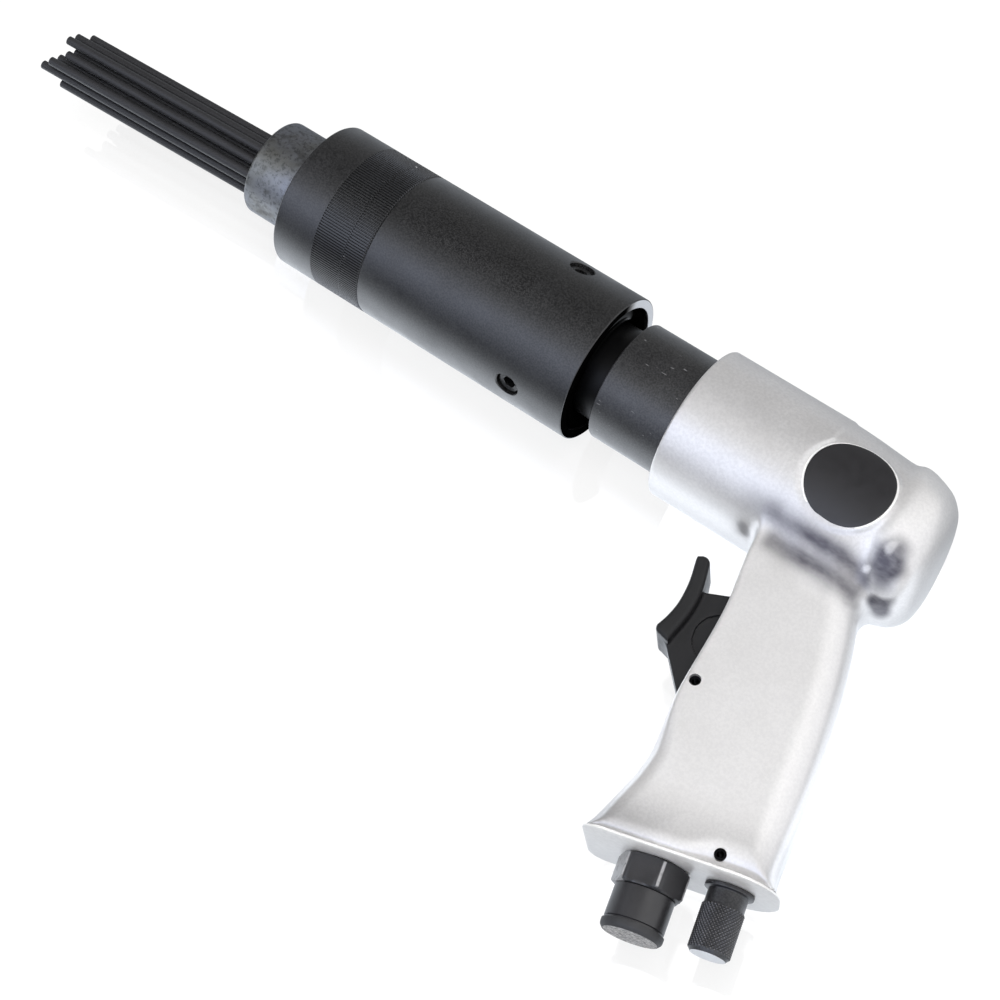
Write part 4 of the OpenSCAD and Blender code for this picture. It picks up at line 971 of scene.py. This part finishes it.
# The trigger: moulded in black nylon with a fine satin surface, a wide finger blade on a narrower web.
# It swings on a spring pin through the handle's cheeks and presses the throttle stem.
BLADE_HALF, WEB_HALF, HOLLOW_HALF = 9, 5, 3.8
trigger_nylon = Finish("trigger_nylon", (0.02, 0.02, 0.021), Specular_IOR_Level=0.14)
trigger_nylon.roughness(trigger_nylon.noise(200, 3), 0.4, 0.52)
trigger_nylon.bump((trigger_nylon.noise(2600, 2), 0.16, 0.05))
blade_front = flowing([(34.5, -17.3), (35.5, -18.0), (43.2, -17.7), (50, -18.5), (55, -20.2), (58.8, -22.2)])
blade_back = flowing([(62.9, -17.6), (58.8, -16.2), (55, -14.8), (50, -13.5), (44, -13.0), (36.5, -13.6),
                      (35.0, -14.2), (34.3, -15.2), (34.2, -16.4)])
blade_outline = outline_field(np.vstack([blade_front, arc((59.4, -20.4), 1.8, -100, -10), blade_back]))
hub = arc(TRIGGER_PIN, 4.6, 100, -20)
web_outline = outline_field(np.vstack([[(41.8, -1), (61.5, -1)], hub, [(76.4, -10), (60.5, -19.5), (44.2, -15)]]))


def trigger_distance(s, t, z):
    side = np.abs(z)
    blade = slab(blade_outline(s, t), side - BLADE_HALF, 1.3)
    hollow = np.maximum(np.hypot(s - 56.8, t + 3.8) - 8, HOLLOW_HALF - side)
    web = np.maximum(slab(web_outline(s, t), side - WEB_HALF, 0.5), -hollow)
    return np.maximum(melted(blade, web, 0.8), PIN_HOLE - np.hypot(s - TRIGGER_PIN[0], t - TRIGGER_PIN[1]))


points, faces = skin(trigger_distance, (33.5, -24.5, -10.3), (80.5, 1.5, 10.3), 0.42)
trigger = plain_piece("trigger_moulding", on_foot(points), faces, trigger_nylon, crease=50, closed=False)
settled(trigger, "trigger", "trigger_plastic", "trigger")

# The air inlet: a hexagon bushing turned from bar and blacked, screwed into the handle's foot.
# Its corners are rubbed bright by the spanner, one flat is painted bright as a reflection, and its spigot carries
# the dust cap.
inlet_black = black_steel("inlet_black", (0.03, 0.03, 0.032), 0.38, 0.0)
rubbed_and_reflecting = inlet_black.product(inlet_black.attribute("wear_and_reflection"),
                             inlet_black.spread(inlet_black.noise(500, 4), 0.25, 0.45))
blacking_and_shade = inlet_black.tint(inlet_black.noise(200, 4), (0.010, 0.010, 0.011), (0.026, 0.025, 0.027))
inlet_black.colour(inlet_black.tint(rubbed_and_reflecting, blacking_and_shade, (0.36, 0.36, 0.37)))
HEX_FLATS, HEX_TURN, HEX_SIDES, HEX_START, HEX_END = 19, 10, 240, 124.3, 133.2


def round_rings(*sizes):
    return [hex_ring(height, ANY_FLATS, radius, HEX_SIDES) for height, radius in sizes]


hex_rings = round_rings((108.3, 8.0), (124.25, 8.0), (124.25, 8.9))
hex_rings += [hex_ring(height, HEX_FLATS, limit, HEX_SIDES, math.radians(HEX_TURN), 0.08)
              for height, limit in ((HEX_START, 9.4), (124.75, 10.2), (125.2, 11.0), (132.3, 11.0),
                                    (132.75, 10.2), (HEX_END, 9.4))]
hex_rings += round_rings((133.2, 8.7), (133.5, 8.9), (142.8, 8.9), (143.1, 8.55), (144.6, 8.5), (144.6, 5.8),
                         (130.6, 5.7), (130.6, 4.5), (108.3, 4.5))
points, faces = lofted(hex_rings)
last = len(points) - HEX_SIDES
bore_end = [[last + j, last + (j + 1) % HEX_SIDES, (j + 1) % HEX_SIDES, j] for j in range(HEX_SIDES)]
inlet = plain_piece("inlet_bushing", on_foot(points[:, [2, 0, 1]]), faces[:-2] + bore_end, inlet_black, crease=28)
x, y, z = drawn(inlet).T
s, t = down_and_back(x, y)
on_hex = (s > HEX_START - 0.02) & (s < HEX_END + 0.01)
spin = (np.degrees(np.arctan2(z, t)) - HEX_TURN) % 360
# One flat is painted bright as a reflection; the corners are real spanner wear.
on_corner, on_reflecting_flat = on_hex & (np.hypot(t, z) > 10.75), on_hex & (spin > 121) & (spin < 179)
with_attribute(inlet, "wear_and_reflection", np.maximum(on_corner, 0.8 * on_reflecting_flat))
settled(inlet, "tool_body", "black_steel", "air_inlet")

# The dust cap: a soft moulded cap pushed over the inlet's spigot for transport, pulled off to fit a hose.
# Its end is a coarse grey web.
cap_black = Finish("cap_black", (0.024, 0.024, 0.025))
cap_black.roughness(cap_black.noise(300, 3), 0.5, 0.66)
cap_black.bump((cap_black.noise(1500, 2), 0.2, 0.06))
cap = lathed("cap_moulding", cap_black, 120, (144.9, 0), (144.9, 8.95), (143.7, 8.95), (143.7, 9.3, 0.15),
             (145.4, 9.25, 0.5), (146.4, 8.3, 0.2), (146.2, 7.9), (146.2, 0), place=on_foot)
settled(cap, "dust_cap", "cap_plastic", "dust_cap")
web_grey = Finish("cap_web_grey", (0.12, 0.115, 0.115), Roughness=0.7)
fibres = web_grey.noise(1100, 3, 0.7)
web_grey.colour(web_grey.between(fibres, 0.38, 0.62, (0.19, 0.185, 0.185), (0.72, 0.705, 0.70)))
web_grey.bump((fibres, 0.5, 0.25))
cap_web = lathed("cap_web", web_grey, 96, (146.1, 0), (146.1, 8.2), (146.33, 8.1), (146.38, 0),
                 place=on_foot)
settled(cap_web, "dust_cap", "cap_plastic")

# The regulator: a steel screw with a diamond-knurled knob, turned, rolled and blacked, its end faced bright.
# A spring pin across the handle runs in its groove and keeps it in while it turns.
def on_regulator(points):
    return on_foot(points, REGULATOR_T)


knob_black = black_steel("knob_black", (0.012, 0.012, 0.014), 0.36, -0.1)
knob = lathed("regulator_turned", knob_black, 96, (100.2, 0), (100.2, 5.5, 0.4), (117.4, 5.5),
              (117.4, 2.6), (121.4, 2.6), (121.4, 5.5), (124.4, 5.5), (124.4, 7.3, 0.15),
              (125.5, 7.3, 0.3), (125.7, 5.9, 0.2), (129.9, 5.9), (130.2, 6.05, 0.1), (143.2, 6.05, 0.2),
              (144.25, 5.3, 0.1), (144.25, 0), place=on_regulator)
settled(knob, "regulator", "black_steel", "regulator")

knob_knurl = black_steel("knob_knurl_black", (0.014, 0.014, 0.016), 0.34, 0.0)
# The tip of every stud is painted bright as a highlight, a little unevenly.
crest = knob_knurl.product(knob_knurl.spread(knob_knurl.attribute("crest"), 0.35, 0.9),
                           knob_knurl.spread(knob_knurl.noise(600, 2), 0.35, 0.65, 0.35, 1.0))
knob_knurl.colour(knob_knurl.tint(crest, (0.006, 0.006, 0.007), (0.17, 0.165, 0.17)))
STUDS, STUD_ROWS, STUD_PITCH, STUD_FOOT, STUD_TOP, STUD_START = 34, 22, 0.585, 6.0, 6.36, 130.6
half_turn = 6.05 * math.pi / STUDS
stud = np.array([(-STUD_PITCH, 0, STUD_FOOT), (0, -half_turn, STUD_FOOT), (STUD_PITCH, 0, STUD_FOOT),
                 (0, half_turn, STUD_FOOT), (0, 0, STUD_TOP)])
pyramids = plain_piece("regulator_knurl", stud * MM, [(0, 1, 4), (1, 2, 4), (2, 3, 4), (3, 0, 4), (3, 2, 1, 0)],
                       knob_knurl, crease=15)
with_attribute(pyramids, "crest", [v.co.z > (STUD_TOP - 0.06) * MM for v in pyramids.data.vertices])
with_inputs(pyramids, studs, knob_knurl, Count=STUDS, Rows=STUD_ROWS, Row_pitch=STUD_PITCH * MM, Row_shift=0.5)
rows = np.array([v.co for v in pyramids.data.vertices]) / MM + np.array((STUD_START, 0, 0))
pyramids.data.vertices.foreach_set("co", on_regulator(rows).astype(np.float32).ravel())
pyramids.data.update()
settled(pyramids, "regulator", "black_steel")

faced_steel = Finish("faced_steel", (0.66, 0.66, 0.67), Metallic=0.5)
faced_steel.roughness(faced_steel.noise(600, 3), 0.3, 0.42)
faced_steel.bump((faced_steel.noise(1800, 2), 0.1, 0.05))
knob_face = lathed("regulator_face", faced_steel, 96, (144.2, 0), (144.2, 5.25), (144.29, 5.2),
                   (144.3, 0), place=on_regulator)
settled(knob_face, "regulator", "bare_steel")
